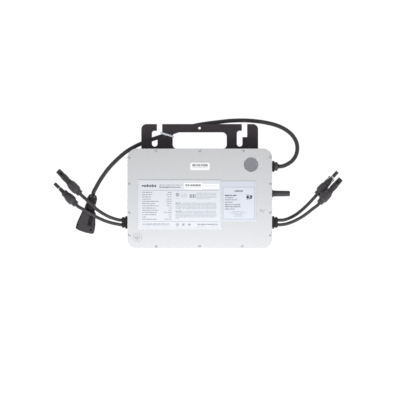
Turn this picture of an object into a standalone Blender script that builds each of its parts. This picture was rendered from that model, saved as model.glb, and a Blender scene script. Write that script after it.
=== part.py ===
"""A two-input solar micro-inverter with its mounting bracket, leads and plugs.

The case lies on its finned back, with the labelled lid up (+Z) and the mounting bracket towards +Y.
The origin is the middle of the flat pad on the back of the case. Dimensions are in millimetres and
become metres through MM. Every moving piece has its origin, or its parent empty, on its joint's axis.
"""

import math

import bmesh
import bpy
from mathutils import Matrix, Vector

MM = 0.001
GAP = 0.3  # left between pieces that touch

# Case
CASE_HALF_X, CASE_HALF_Y, CASE_CORNER = 130.5, 90.0, 16.0
FIN_DEPTH, FLOOR_TOP = 3.2, 7.0
RIM_UNDER, RIM_TOP = 25.5, 32.5
WALL_INSET = 4.0  # the tub's wall stands this far inside the rim's outline
CAVITY_INSET = 10.5
LID_LOW, LID_TOP = RIM_TOP + GAP, 34.6
LABEL_LOW, LABEL_TOP = LID_TOP + GAP, 35.1
FIN_WIDTH, FIN_SPACING, FINS, FIN_HALF_LENGTH = 3.0, 16.0, 15, 76.0
PAD_HALF_X, PAD_HALF_Y = 44.0, 30.0
GROOVE_INSET, GROOVE_WIDTH, GROOVE_FLOOR = 6.0, 3.0, 30.5
LID_SCREWS = (
    [(side * 127.3, y) for side in (-1, 1) for y in (74.5, 27.0, -25.0, -66.0)]
    + [(x, 86.4) for x in (-79.0, 0.0, 79.0)]
    + [(x, -85.8) for x in (-79.0, 0.0, 77.0)]
)
SCREW_HOLE, SCREW_SIDES = 1.55, 8
FILL_PORT, FILL_PORT_RADIUS = (92.6, 61.3), 12.9
FILL_TOP = 34.0  # the cast compound stands up in the port, a little below the lid's face
LIGHT, LIGHT_RADIUS = (112.3, -22.1), 3.0

# Inside
POTTING_LOW, POTTING_TOP = 12.8, 30.3
BOARD_LOW, BOARD_TOP = 10.8, 12.4
BOARD_HALF_X, BOARD_HALF_Y = 117.0, 76.5
BOARD_BOSSES = [(x, y) for x in (-108.0, 108.0) for y in (-68.0, 68.0)]
PART_LOW = BOARD_TOP + GAP  # where parts stand on the board
PART_HEIGHT = 15.0
TRANSFORMER_X, TRANSFORMER_Y = 46.0, -24.0
CAPACITOR_X, CAPACITOR_Y, CAPACITOR_RADIUS = 92.0, -28.0, 9.0
RELAY = (58.0, 40.0)
RADIO = (100.0, 9.0)

# Bracket
PLATE_LOW, PLATE_TOP = 14.0, 16.0
PLATE_LEFT, PLATE_RIGHT, PLATE_EDGE = -105.7, 105.4, 134.5
FLANGE_NEAR = CASE_HALF_Y - WALL_INSET + GAP
FLANGE_THICK = 2.0
SLOT_WIDTH, SLOT_SEAT_END, SLOT_SEAT_TOP, SLOT_STEP = 10.0, 93.8, 122.2, 111.0
LAND_NEAR, LAND_FAR, LAND_WIDTH, LAND_TOP = 90.5, 110.0, 4.0, 16.3
SLOT_ENTRIES = ((-77.4, -68.0), (76.0, 85.6))
HAND_HOLE = (-48.9, 89.6, 48.7, 119.4)
BRACKET_SCREWS, BRACKET_SCREW_Z = (-88.0, -30.0, 30.0, 88.0), 20.8
HANG_HOLE = (-0.5, 127.0, 2.25)

# Cable tie round the bracket's web and the mains cable
TIE_MIDDLE, TIE_DIRECTION = (-58.5, 115.0), (19.5, -5.9)
TIE_WIDTH, TIE_THICK = 3.2, 1.2
TIE_INSIDE = (-12.2, 5.9, 10.8, 16.3)

# Glands, antenna
AC_GLAND = (57.9, 17.0)  # Y and Z of its axis on the +X wall
ANTENNA = (8.9, 16.5)
DC_GLAND = (-43.3, 18.0)
LEAD_PITCH = 8.4
WALL_PAD = CASE_HALF_X  # the local pads on the side walls come out flush with the rim

# Cords: diameters, and points that the routes pass through
AC_DIAMETER, LEAD_DIAMETER = 7.4, 6.0
AC_ROUTE = (
    (141.8, 57.9, 17.0), (146.0, 57.9, 16.9), (151.2, 58.8, 16.2), (158.4, 62.0, 14.2), (167.2, 68.3, 11.2),
    (173.8, 78.0, 8.0), (176.4, 90.0, 5.4), (174.6, 102.0, 4.2), (168.6, 112.6, 3.9),
    (160.4, 120.7, 3.8), (149.2, 127.8, 3.8), (136.2, 133.0, 3.8), (121.0, 136.8, 3.8),
    (104.0, 139.5, 3.8), (87.0, 140.9, 3.8), (70.0, 141.1, 3.9), (52.0, 140.2, 4.4),
    (34.0, 138.2, 5.3), (16.0, 136.0, 6.6), (-2.0, 133.2, 7.9), (-20.0, 129.0, 9.1),
    (-39.0, 122.8, 9.8), (-58.5, 116.0, 9.9), (-76.0, 110.2, 9.2), (-92.0, 104.8, 7.8),
    (-107.0, 98.8, 6.2), (-122.0, 91.4, 4.9), (-134.6, 83.2, 4.0), (-143.8, 75.6, 3.8),
    (-151.6, 68.4, 3.8), (-158.8, 61.2, 3.8), (-165.1, 54.0, 3.9), (-170.8, 46.8, 4.1),
    (-175.8, 39.6, 4.5), (-180.5, 32.4, 5.2), (-184.7, 25.2, 6.4), (-188.4, 18.2, 7.9),
)
LEAD_ROUTES = {
    "left_upper": ((-144.6, -39.0, 18.0), (-148.6, -38.2, 18.4), (-154.0, -36.7, 18.9),
                   (-162.0, -33.9, 20.0), (-170.2, -30.0, 21.0), (-178.4, -25.0, 21.8),
                   (-186.5, -19.3, 22.2), (-195.4, -11.0, 22.1), (-204.0, -2.8, 20.8)),
    "left_lower": ((-144.6, -47.4, 18.0), (-148.6, -46.5, 18.1), (-154.0, -45.4, 18.4),
                   (-162.0, -43.5, 18.8), (-170.2, -40.9, 19.2), (-178.4, -37.5, 19.6),
                   (-186.5, -33.6, 19.8), (-194.5, -29.1, 19.9), (-203.5, -23.8, 19.6),
                   (-211.4, -19.2, 18.6)),
    "right_upper": ((144.6, -39.2, 18.0), (151.1, -38.9, 16.9), (158.6, -36.8, 14.6),
                    (167.3, -32.9, 11.0), (175.5, -28.0, 7.2), (183.6, -21.8, 4.4),
                    (191.7, -14.5, 3.4), (199.8, -6.4, 4.6)),
    "right_lower": ((144.6, -47.6, 18.0), (153.8, -46.6, 18.2), (162.0, -44.3, 18.7),
                    (172.7, -39.9, 19.8), (183.6, -33.9, 21.4), (194.4, -26.5, 23.2),
                    (203.6, -19.1, 24.5)),
}

# Plugs: where each one's cable end is, its direction in plan, its tilt and its roll, in degrees
DC_AXIS_Z = 8.5
AC_PLUG = ((-192.8, 6.8, 9.3), (-15.9, -68.1), 0.0, 0.0)
MALE_LENGTH, FEMALE_LENGTH = 59.0, 55.0
CONNECTORS = {
    "left_male": ((-216.0, 8.4, 16.6), (-40.3, 41.8), -11.0, 0.0),
    "left_female": ((-223.4, -10.9, 15.8), (-39.1, 37.9), -13.0, 90.0),
    "right_female": ((211.6, 6.8, DC_AXIS_Z), (36.2, 40.2), 0.0, 0.0),
    "right_male": ((216.2, -8.3, 23.6), (38.2, 42.8), -12.0, 0.0),
}
CABLE_STOP = 11.7  # depth of the cable's end inside a connector, from the connector's rear
AC_CABLE_STOP = 8.7
ROUND_SIDES = 16

COLOURS = {  # colour, roughness, metallic
    "cast_aluminium": ((0.52, 0.53, 0.55), 0.5, 0.9),
    "lid_aluminium": ((0.62, 0.63, 0.65), 0.42, 0.9),
    "gasket_rubber": ((0.05, 0.05, 0.05), 0.8, 0.0),
    "bright_steel": ((0.66, 0.66, 0.68), 0.3, 1.0),
    "grey_potting": ((0.32, 0.33, 0.34), 0.6, 0.0),
    "black_steel": ((0.035, 0.033, 0.037), 0.55, 0.0),
    "white_nylon": ((0.75, 0.8, 0.9), 0.45, 0.0),
    "label_film": ((0.71, 0.74, 0.78), 0.5, 0.0),
    "white_label": ((0.88, 0.88, 0.88), 0.5, 0.0),
    "light_pipe": ((0.7, 0.72, 0.74), 0.2, 0.0),
    "board_green": ((0.02, 0.16, 0.07), 0.45, 0.0),
    "ferrite": ((0.06, 0.06, 0.065), 0.7, 0.0),
    "copper_wire": ((0.65, 0.28, 0.12), 0.35, 0.9),
    "capacitor_sleeve": ((0.05, 0.08, 0.2), 0.4, 0.0),
    "component_black": ((0.03, 0.03, 0.03), 0.5, 0.0),
    "shield_can": ((0.7, 0.7, 0.7), 0.35, 1.0),
    "antenna_plastic": ((0.09, 0.085, 0.09), 0.5, 0.0),
    "black_plastic": ((0.07, 0.068, 0.075), 0.45, 0.0),
    "cable_jacket": ((0.085, 0.08, 0.08), 0.55, 0.0),
    "seal_rubber": ((0.45, 0.46, 0.48), 0.6, 0.0),
    "contact_metal": ((0.8, 0.78, 0.72), 0.25, 1.0),
}


# ---------------------------------------------------------------- scene and small helpers

def clear_scene():
    for item in list(bpy.data.objects):
        bpy.data.objects.remove(item, do_unlink=True)


def new_collection(name):
    group = bpy.data.collections.new(name)
    bpy.context.scene.collection.children.link(group)
    return group


def make_material(name):
    colour, roughness, metallic = COLOURS[name]
    material = bpy.data.materials.get(name)
    if material is None:
        material = bpy.data.materials.new(name)
        material.use_nodes = True
        shader = material.node_tree.nodes["Principled BSDF"]
        shader.inputs["Base Color"].default_value = (*colour, 1.0)
        shader.inputs["Roughness"].default_value = roughness
        shader.inputs["Metallic"].default_value = metallic
    return material


def place(name, mesh, material, frame=None, parent=None):
    """One named object of the model, in its parent empty's frame when it has one."""
    piece = bpy.data.objects.new(name, mesh)
    PARTS.objects.link(piece)
    mesh.materials.clear()
    mesh.materials.append(make_material(material))
    if parent is not None:
        piece.parent = parent
    if frame is not None:
        piece.matrix_local = frame
    return piece


def make_cutter(piece):
    PARTS.objects.unlink(piece)
    CUTTERS.objects.link(piece)
    piece.hide_render = True
    piece.display_type = "WIRE"
    return piece


def combine(piece, tool, operation="DIFFERENCE"):
    """A Boolean of the piece with a tool, which goes among the cutters."""
    modifier = piece.modifiers.new(tool.name, "BOOLEAN")
    modifier.operation = operation
    modifier.object = make_cutter(tool)
    return piece


def cut(piece, *tools):
    for tool in tools:
        combine(piece, tool)
    return piece


def fuse(piece, *tools):
    for tool in tools:
        combine(piece, tool, "UNION")
    return piece


def smooth(piece, angle=35.0):
    mesh = piece.data
    mesh.shade_smooth()
    mesh.set_sharp_from_angle(angle=math.radians(angle))
    return piece


def bevel(piece, width, segments=2):
    modifier = piece.modifiers.new("rounded_edges", "BEVEL")
    modifier.width = width * MM
    modifier.segments = segments
    modifier.limit_method = "ANGLE"
    modifier.angle_limit = math.radians(50.0)
    modifier.use_clamp_overlap = True
    return piece


def evaluated_mesh(piece):
    graph = bpy.context.evaluated_depsgraph_get()
    return bpy.data.meshes.new_from_object(piece.evaluated_get(graph))


# ---------------------------------------------------------------- outlines

def rounded(corners, steps=5):
    """A closed outline from corners (x, y, radius), with an arc at each corner that has a radius."""
    points = []
    for index, (x, y, radius) in enumerate(corners):
        corner = Vector((x, y))
        if radius == 0:
            points.append(corner)
            continue
        back = (Vector(corners[index - 1][:2]) - corner).normalized()
        ahead = (Vector(corners[(index + 1) % len(corners)][:2]) - corner).normalized()
        half = back.angle(ahead) / 2
        centre = corner + (back + ahead).normalized() * radius / math.sin(half)
        start = corner + back * radius / math.tan(half) - centre
        end = corner + ahead * radius / math.tan(half) - centre
        for step in range(steps + 1):
            points.append(centre + radius * start.slerp(end, step / steps))
    return points


def rectangle(left, low, right, high, radius=0.0, steps=5):
    corners = ((left, low), (right, low), (right, high), (left, high))
    return rounded([(x, y, radius) for x, y in corners], steps)


def case_outline(inset, radius=None):
    half_x, half_y = CASE_HALF_X - inset, CASE_HALF_Y - inset
    return rectangle(-half_x, -half_y, half_x, half_y, CASE_CORNER - inset if radius is None else radius)


def circle(x, y, radius, sides):
    turn = 2 * math.pi / sides
    return [
        Vector((x + radius * math.cos(turn * step), y + radius * math.sin(turn * step)))
        for step in range(sides)
    ]


# ---------------------------------------------------------------- solids

def prism(name, loops, low, high, material, frame=None, parent=None):
    """A flat outline, with its holes, made thick along its own Z from low to high."""
    curve = bpy.data.curves.new(name, "CURVE")
    curve.dimensions = "2D"
    curve.fill_mode = "BOTH"
    curve.extrude = (high - low) / 2 * MM
    for loop in loops:
        spline = curve.splines.new("POLY")
        spline.points.add(len(loop) - 1)
        spline.use_cyclic_u = True
        for point, corner in zip(spline.points, loop):
            point.co = (corner.x * MM, corner.y * MM, 0.0, 1.0)
    flat = bpy.data.objects.new(name + "_outline", curve)
    PARTS.objects.link(flat)
    mesh = evaluated_mesh(flat)
    bpy.data.objects.remove(flat)
    body = bmesh.new()
    body.from_mesh(mesh)
    bmesh.ops.remove_doubles(body, verts=body.verts, dist=0.001 * MM)
    bmesh.ops.translate(body, verts=body.verts, vec=(0.0, 0.0, (low + high) / 2 * MM))
    bmesh.ops.recalc_face_normals(body, faces=body.faces)
    body.to_mesh(mesh)
    body.free()
    mesh.name = name
    return place(name, mesh, material, frame, parent)


def blocks(name, boxes, material, frame=None, parent=None):
    """Separate boxes, each given by its lowest and highest corner, as one object."""
    mesh = bpy.data.meshes.new(name)
    body = bmesh.new()
    for low, high in boxes:
        low, high = Vector(low) * MM, Vector(high) * MM
        size = Matrix.Diagonal((*(high - low), 1.0))
        bmesh.ops.create_cube(body, size=1.0, matrix=Matrix.Translation((low + high) / 2) @ size)
    body.to_mesh(mesh)
    body.free()
    return place(name, mesh, material, frame, parent)


def rods(name, places, radius, low, high, sides, material, frame=None, parent=None):
    """Separate upright cylinders at (x, y) places, as one object."""
    mesh = bpy.data.meshes.new(name)
    body = bmesh.new()
    for x, y in places:
        middle = Matrix.Translation(Vector((x, y, (low + high) / 2)) * MM)
        bmesh.ops.create_cone(
            body, cap_ends=True, segments=sides, radius1=radius * MM, radius2=radius * MM,
            depth=(high - low) * MM, matrix=middle,
        )
    body.to_mesh(mesh)
    body.free()
    return place(name, mesh, material, frame, parent)


def turned(name, profile, material, frame=None, parent=None, sides=ROUND_SIDES):
    """A profile of (radius, height), listed down its outer side, turned about its own Z."""
    mesh = bpy.data.meshes.new(name)
    points = [(radius * MM, 0.0, height * MM) for radius, height in profile]
    closed = profile[0][0] > 0
    edges = [(index, index + 1) for index in range(len(points) - 1)]
    if closed:
        edges.append((len(points) - 1, 0))
    mesh.from_pydata(points, edges, [])
    piece = place(name, mesh, material, frame, parent)
    screw = piece.modifiers.new("turn", "SCREW")
    screw.axis = "Z"
    screw.steps = sides
    screw.render_steps = sides
    screw.use_merge_vertices = True
    screw.merge_threshold = 0.00001
    screw.use_smooth_shade = True
    return piece


def shifted(x, y, z):
    return Matrix.Translation(Vector((x, y, z)) * MM)


def along_x(side, y, z):
    """A frame whose Z points out of a side wall, and whose Y is the world's Z."""
    turn = Matrix(((0, 0, side), (side, 0, 0), (0, 1, 0))).to_4x4()
    return shifted(side * WALL_PAD, y, z) @ turn


def empty(name, frame):
    anchor = bpy.data.objects.new(name, None)
    anchor.empty_display_size = 0.01
    PARTS.objects.link(anchor)
    anchor.matrix_world = frame
    return anchor


def plug_frame(spec):
    """The frame of a plug: origin at its cable end, Z towards its tip, Y up before the roll."""
    rear, plan, tilt, roll = spec
    flat = Vector((plan[0], plan[1], 0.0)).normalized()
    tilt = math.radians(tilt)
    forward = flat * math.cos(tilt) + Vector((0.0, 0.0, math.sin(tilt)))
    side = Vector((0.0, 0.0, 1.0)).cross(forward).normalized()
    up = forward.cross(side)
    turn = Matrix((side, up, forward)).transposed().to_4x4()
    return shifted(*rear) @ turn @ Matrix.Rotation(math.radians(roll), 4, "Z")


# ---------------------------------------------------------------- case

def make_housing():
    housing = prism("housing", [case_outline(WALL_INSET)], FIN_DEPTH - GAP, RIM_TOP, "cast_aluminium")
    rim = prism("rim", [case_outline(0.0)], RIM_UNDER, RIM_TOP, "cast_aluminium")
    first = -(FINS - 1) / 2 * FIN_SPACING
    centres = [first + index * FIN_SPACING for index in range(FINS)]
    half = FIN_WIDTH / 2
    ribs = blocks(
        "back_fins",
        [
            ((x - half, -FIN_HALF_LENGTH, 0.0), (x + half, FIN_HALF_LENGTH, FIN_DEPTH))
            for x in centres if abs(x) > PAD_HALF_X
        ]
        + [
            ((x - half, low, 0.0), (x + half, high, FIN_DEPTH))
            for x in centres if abs(x) < PAD_HALF_X
            for low, high in ((-FIN_HALF_LENGTH, -PAD_HALF_Y - 6), (PAD_HALF_Y + 6, FIN_HALF_LENGTH))
        ]
        + [((-PAD_HALF_X, -PAD_HALF_Y, 0.0), (PAD_HALF_X, PAD_HALF_Y, FIN_DEPTH))],
        "cast_aluminium",
    )
    wall_in = CASE_HALF_X - WALL_INSET - 2.0
    y, z = AC_GLAND
    antenna_y = ANTENNA[0]
    dc_y = DC_GLAND[0]
    pads = blocks(
        "wall_pads",
        [
            ((wall_in, y - 12.5, 5.0), (WALL_PAD, y + 12.5, RIM_UNDER + 2)),
            ((wall_in, antenna_y - 8.5, 7.0), (WALL_PAD, antenna_y + 8.5, RIM_UNDER + 2)),
            ((wall_in, dc_y - 13.5, 8.0), (WALL_PAD, dc_y + 13.5, RIM_UNDER + 2)),
            ((-WALL_PAD, dc_y - 13.5, 8.0), (-wall_in, dc_y + 13.5, RIM_UNDER + 2)),
        ],
        "cast_aluminium",
    )
    cavity = prism("cavity", [case_outline(CAVITY_INSET)], FLOOR_TOP, RIM_TOP + 2, "cast_aluminium")
    bosses = rods("board_bosses", BOARD_BOSSES, 4.0, FLOOR_TOP - 1, BOARD_LOW - GAP, 10, "cast_aluminium")
    groove = prism(
        "gasket_groove", [case_outline(GROOVE_INSET), case_outline(GROOVE_INSET + GROOVE_WIDTH)],
        GROOVE_FLOOR, RIM_TOP + 2, "cast_aluminium",
    )
    screw_holes = rods(
        "lid_screw_holes", LID_SCREWS, SCREW_HOLE, RIM_UNDER + 1.0, RIM_TOP + 1, SCREW_SIDES, "cast_aluminium"
    )
    wall = CASE_HALF_Y - WALL_INSET
    bracket_holes = rods(
        "bracket_screw_holes", [(x, -BRACKET_SCREW_Z) for x in BRACKET_SCREWS], 2.3, wall - 5.8, wall + 1,
        SCREW_SIDES, "cast_aluminium", Matrix.Rotation(-math.pi / 2, 4, "X"),
    )
    fuse(housing, rim, ribs, pads)
    cut(housing, cavity)
    fuse(housing, bosses)
    cut(housing, groove, screw_holes, bracket_holes)
    depth = CAVITY_INSET + 2
    cut(housing, rods("ac_gland_hole", [(0, 0)], 6.3, -depth, 1, 16, "cast_aluminium",
                      along_x(1, *AC_GLAND)))
    cut(housing, rods("antenna_hole", [(0, 0)], 3.3, -depth, 1, 12, "cast_aluminium",
                      along_x(1, *ANTENNA)))
    for side, name in ((-1, "left"), (1, "right")):
        cut(housing, prism("dc_gland_hole_" + name, [rectangle(-9.3, -5.3, 9.3, 5.3, 4.0, 3)],
                           -depth, 1, "cast_aluminium", along_x(side, *DC_GLAND)))
    return smooth(housing)


def make_lid():
    holes = [circle(x, y, SCREW_HOLE, SCREW_SIDES) for x, y in LID_SCREWS]
    holes.append(circle(*FILL_PORT, FILL_PORT_RADIUS, 28))
    holes.append(circle(*LIGHT, LIGHT_RADIUS + GAP, 16))
    prism("lid", [case_outline(0.0)] + holes, LID_LOW, LID_TOP, "lid_aluminium")
    gasket = [case_outline(GROOVE_INSET + GAP), case_outline(GROOVE_INSET + GROOVE_WIDTH - GAP)]
    prism("lid_gasket", gasket, GROOVE_FLOOR + GAP, RIM_TOP, "gasket_rubber")
    rods("status_light", [LIGHT], LIGHT_RADIUS, POTTING_TOP + GAP, LID_TOP - 0.1, 16, "light_pipe")


def make_labels():
    rating = rectangle(-111.2, -55.1, 39.1, 33.8, 2.0, 3)
    prism("rating_label", [rating], LABEL_LOW, LABEL_TOP, "label_film")
    data = rectangle(39.5, -40.7, 101.3, 31.3, 2.0, 3)
    prism("data_label", [data], LABEL_LOW, LABEL_TOP, "label_film")
    serial = rectangle(-17.5, 51.4, 18.0, 65.2, 1.8, 3)
    prism("serial_label", [serial], LABEL_LOW, LABEL_TOP, "white_label")


# ---------------------------------------------------------------- inside the case

def box_at(x, y, half_x, half_y, low, high):
    return ((x - half_x, y - half_y, low), (x + half_x, y + half_y, high))


def make_board():
    outline = rectangle(-BOARD_HALF_X, -BOARD_HALF_Y, BOARD_HALF_X, BOARD_HALF_Y, 4.0, 2)
    prism("circuit_board", [outline], BOARD_LOW, BOARD_TOP, "board_green")


def make_transformer(name, x):
    """A pair of E halves, closed into a frame whose centre leg carries the winding."""
    top = PART_LOW + PART_HEIGHT
    outer = rectangle(-24.0, PART_LOW, 24.0, top)
    low, high = PART_LOW + 3.5, top - 3.5
    windows = [rectangle(-18.0, low, -7.0, high), rectangle(7.0, low, 18.0, high)]
    upright = shifted(x, TRANSFORMER_Y, 0) @ Matrix.Rotation(math.pi / 2, 4, "X")
    prism(name + "_core", [outer] + windows, -16.0, 16.0, "ferrite", upright)
    ring = [rectangle(-17.7, -26.7, 17.7, 26.7, 8.0, 3), rectangle(-7.3, -16.3, 7.3, 16.3)]
    winding = shifted(x, TRANSFORMER_Y, 0)
    prism(name + "_winding", ring, low + GAP, high - GAP, "copper_wire", winding)


def make_components():
    top = PART_LOW + PART_HEIGHT
    for side, name in ((-1, "left"), (1, "right")):
        make_transformer(name + "_transformer", side * TRANSFORMER_X)
        can = [(side * CAPACITOR_X, CAPACITOR_Y)]
        rods(name + "_input_capacitor", can, CAPACITOR_RADIUS, PART_LOW, top, 16, "capacitor_sleeve")
    blocks("grid_relay", [box_at(*RELAY, 10.0, 14.0, PART_LOW, top)], "component_black")
    blocks("radio_module", [box_at(*RADIO, 9.0, 13.0, PART_LOW, PART_LOW + 3.0)], "shield_can")


def make_potting():
    """The cast compound above the board, hollow under each part that stands on the board."""
    wall = CAVITY_INSET + GAP
    potting = prism("potting_compound", [case_outline(wall)], POTTING_LOW, POTTING_TOP, "grey_potting")
    plug_radius = FILL_PORT_RADIUS - GAP
    fuse(potting, rods("potting_in_port", [FILL_PORT], plug_radius, POTTING_TOP - 1.0, FILL_TOP, 28,
                       "grey_potting"))
    below = POTTING_LOW - 1
    top = PART_LOW + PART_HEIGHT + GAP
    can = CAPACITOR_RADIUS + GAP
    inner = CASE_HALF_X - CAVITY_INSET
    dc_y, dc_z = DC_GLAND
    pockets = [
        box_at(*RELAY, 10.3, 14.3, below, top),
        box_at(*RADIO, 9.3, 13.3, below, PART_LOW + 3.3),
        ((inner - 4, AC_GLAND[0] - 6.6, below), (inner + 1, AC_GLAND[0] + 6.6, AC_GLAND[1] + 6.6)),
        ((inner - 6, ANTENNA[0] - 3.6, below), (inner + 1, ANTENNA[0] + 3.6, ANTENNA[1] + 3.6)),
    ]
    for side in (-1, 1):
        pockets.append(box_at(side * TRANSFORMER_X, TRANSFORMER_Y, 24.3, 27.0, below, top))
        pockets.append(box_at(side * CAPACITOR_X, CAPACITOR_Y, can, can, below, top))
        pockets.append(box_at(side * inner, dc_y, 4.0, 9.4, below, dc_z + 5.4))
    return cut(potting, blocks("component_pockets", pockets, "grey_potting"))


# ---------------------------------------------------------------- bracket and cable tie

def seat_sides(left):
    """Left and right edges of the seat of the slot whose entry starts at left."""
    return left + 1.0 - SLOT_WIDTH, left + 1.0


def slot_corners(left, right):
    """One stepped slot, from its mouth's right corner round to its left one; the seat is offset left."""
    seat_left, seat_right = seat_sides(left)
    end = SLOT_WIDTH / 2 - 0.1
    return [
        (right, PLATE_EDGE, 1.2), (right, SLOT_STEP, 1.0), (seat_right, SLOT_STEP, 1.2),
        (seat_right, SLOT_SEAT_END, end), (seat_left, SLOT_SEAT_END, end),
        (seat_left, SLOT_SEAT_TOP, 4.5), (left, SLOT_SEAT_TOP, 1.2), (left, PLATE_EDGE, 1.2),
    ]


def slot_land(left):
    """A slightly raised land round the closed end of a seat, where a bolt's washer bears."""
    seat_left, seat_right = seat_sides(left)
    near, far = LAND_NEAR, LAND_FAR
    inner_left, inner_right, end = seat_left - GAP, seat_right + GAP, SLOT_SEAT_END - GAP
    return rounded([
        (seat_left - LAND_WIDTH, far, 1.0), (seat_left - LAND_WIDTH, near, 5.0),
        (seat_right + LAND_WIDTH, near, 5.0), (seat_right + LAND_WIDTH, far, 1.0),
        (inner_right, far, 0), (inner_right, end, SLOT_WIDTH / 2),
        (inner_left, end, SLOT_WIDTH / 2), (inner_left, far, 0),
    ], steps=4)


def make_bracket():
    left_slot, right_slot = SLOT_ENTRIES
    outline = rounded(
        [(PLATE_LEFT, FLANGE_NEAR, 0), (PLATE_RIGHT, FLANGE_NEAR, 0), (PLATE_RIGHT, PLATE_EDGE, 9.5)]
        + slot_corners(*right_slot) + slot_corners(*left_slot) + [(PLATE_LEFT, PLATE_EDGE, 9.5)],
        steps=4,
    )
    x, y, radius = HANG_HOLE
    holes = [rectangle(*HAND_HOLE, 8.0, 4), circle(x, y, radius, 14)]
    bracket = prism("mounting_bracket", [outline] + holes, PLATE_LOW, PLATE_TOP, "black_steel")
    flange = ((PLATE_LEFT, FLANGE_NEAR, PLATE_LOW + 0.5),
              (PLATE_RIGHT, FLANGE_NEAR + FLANGE_THICK, RIM_UNDER - GAP))
    fuse(bracket, blocks("bracket_flange", [flange], "black_steel"))
    for left, _right in SLOT_ENTRIES:
        fuse(bracket, prism("slot_land", [slot_land(left)], PLATE_TOP - 0.5, LAND_TOP, "black_steel"))
    turn = Matrix.Rotation(-math.pi / 2, 4, "X")
    cut(bracket, rods("flange_holes", [(x, -BRACKET_SCREW_Z) for x in BRACKET_SCREWS], 2.3,
                      FLANGE_NEAR - 1, FLANGE_NEAR + FLANGE_THICK + 1, SCREW_SIDES, "black_steel", turn))
    head = FLANGE_NEAR + FLANGE_THICK + GAP
    top, tip = head + 1.5, head - 7.5
    profile = ((0, top), (3.4, top), (3.6, head), (2.0, head), (2.0, tip), (0, tip))
    for number, x in enumerate(BRACKET_SCREWS, 1):
        frame = shifted(x, 0, BRACKET_SCREW_Z) @ turn
        turned(f"bracket_screw_{number}", profile, "bright_steel", frame, sides=12)


def make_cable_tie():
    """A band whose plane follows the strand over the web; its own Y is up and its Z lies across it."""
    strand = Vector((*TIE_DIRECTION, 0.0)).normalized()
    up = Vector((0.0, 0.0, 1.0))
    turn = Matrix((strand, up, strand.cross(up))).transposed().to_4x4()
    frame = shifted(*TIE_MIDDLE, 0.0) @ turn
    left, low, right, high = TIE_INSIDE
    outside = rectangle(left - TIE_THICK, low - TIE_THICK, right + TIE_THICK, high + TIE_THICK, 2.4, 3)
    half = TIE_WIDTH / 2
    tie = prism("cable_tie", [outside, rectangle(*TIE_INSIDE, 1.2, 3)], -half, half, "white_nylon", frame)
    head = blocks("tie_head", [((left + 1.0, 0.8, -2.6), (left + 5.5, low - 0.4, 2.6))], "white_nylon", frame)
    return fuse(tie, head)


# ---------------------------------------------------------------- glands and antenna

def make_ac_gland():
    frame = along_x(1, *AC_GLAND)
    turned(
        "ac_gland",
        ((0, 4.3), (10.1, 4.3), (10.1, 1.0), (9.4, GAP), (6.0, GAP), (6.0, -13.0), (0, -13.0)),
        "black_plastic", frame,
    )
    turned(
        "ac_gland_nut",
        ((0, 11.0), (5.6, 11.0), (6.8, 10.2), (8.1, 8.8), (8.1, 4.6), (0, 4.6)),
        "black_plastic", frame,
    )


def make_dc_gland(name, side):
    frame = along_x(side, *DC_GLAND)
    flange = prism(name, [rectangle(-11.5, -7.5, 11.5, 7.5, 5.0, 4)], GAP, 4.1, "black_plastic", frame)
    nose = prism(name + "_nose", [rectangle(-9.9, -6.0, 9.9, 6.0, 5.0, 4)], 3.0, 10.0, "black_plastic", frame)
    bevel(nose, 1.6)
    shank_outline = rectangle(-9.0, -5.0, 9.0, 5.0, 4.0, 3)
    shank = prism(name + "_shank", [shank_outline], -12.5, 1.0, "black_plastic", frame)
    return smooth(fuse(flange, nose, shank))


def make_antenna():
    frame = along_x(1, *ANTENNA)
    turned(
        "antenna",
        ((0, 32.6), (3.6, 32.6), (4.7, 32.0), (5.1, 30.6), (5.7, GAP), (3.0, GAP), (3.0, -15.0), (0, -15.0)),
        "antenna_plastic", frame,
    )


# ---------------------------------------------------------------- plugs

def make_nut(name, profile, bore, throat, throat_depth, parent):
    """A coupling nut: its outer profile, rear to front, over a cable hole and a wide threaded bore."""
    front = profile[-1][1]
    inside = ((throat, front), (throat, throat_depth), (bore, throat_depth), (bore, 0.0))
    return turned(name, tuple(reversed(profile)) + tuple(reversed(inside)), "black_plastic", parent=parent)


def make_collet(name, outer, bore, low, high, parent):
    profile = ((outer, high), (outer, low), (bore, low), (bore, high))
    return turned(name, profile, "seal_rubber", parent=parent, sides=14)


def make_male(name, anchor):
    """The wide half: a hollow barrel with two latch windows round a pin."""
    length = MALE_LENGTH
    nut = ((5.8, 0.0), (5.8, 5.2), (7.6, 7.4), (8.4, 10.0), (8.4, 22.0), (7.7, 25.0), (6.9, 27.2))
    make_nut(name + "_nut", nut, 3.5, 6.0, 5.0, anchor)
    make_collet(name + "_collet", 5.6, 3.3, 5.3, CABLE_STOP, anchor)
    body = turned(
        name + "_body",
        ((0, 34.0), (3.6, 34.0), (3.6, length), (4.95, length), (4.95, 55.0), (4.3, 54.6), (4.3, 53.4),
         (4.6, 53.2), (4.6, 46.6), (5.0, 45.0), (5.4, 39.0), (6.35, 33.0), (6.35, 27.5), (5.7, 27.5),
         (5.7, CABLE_STOP + GAP), (0, CABLE_STOP + GAP)),
        "black_plastic", parent=anchor,
    )
    cut(body, blocks(name + "_windows", [((-2.0, -6.0, 47.2), (2.0, 6.0, 52.6))], "black_plastic",
                     parent=anchor))
    pin = ((0, 54.0), (0.7, 54.0), (1.4, 52.6), (1.4, 34.0 + GAP), (0, 34.0 + GAP))
    turned(name + "_pin", pin, "contact_metal", parent=anchor, sides=12)


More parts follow.
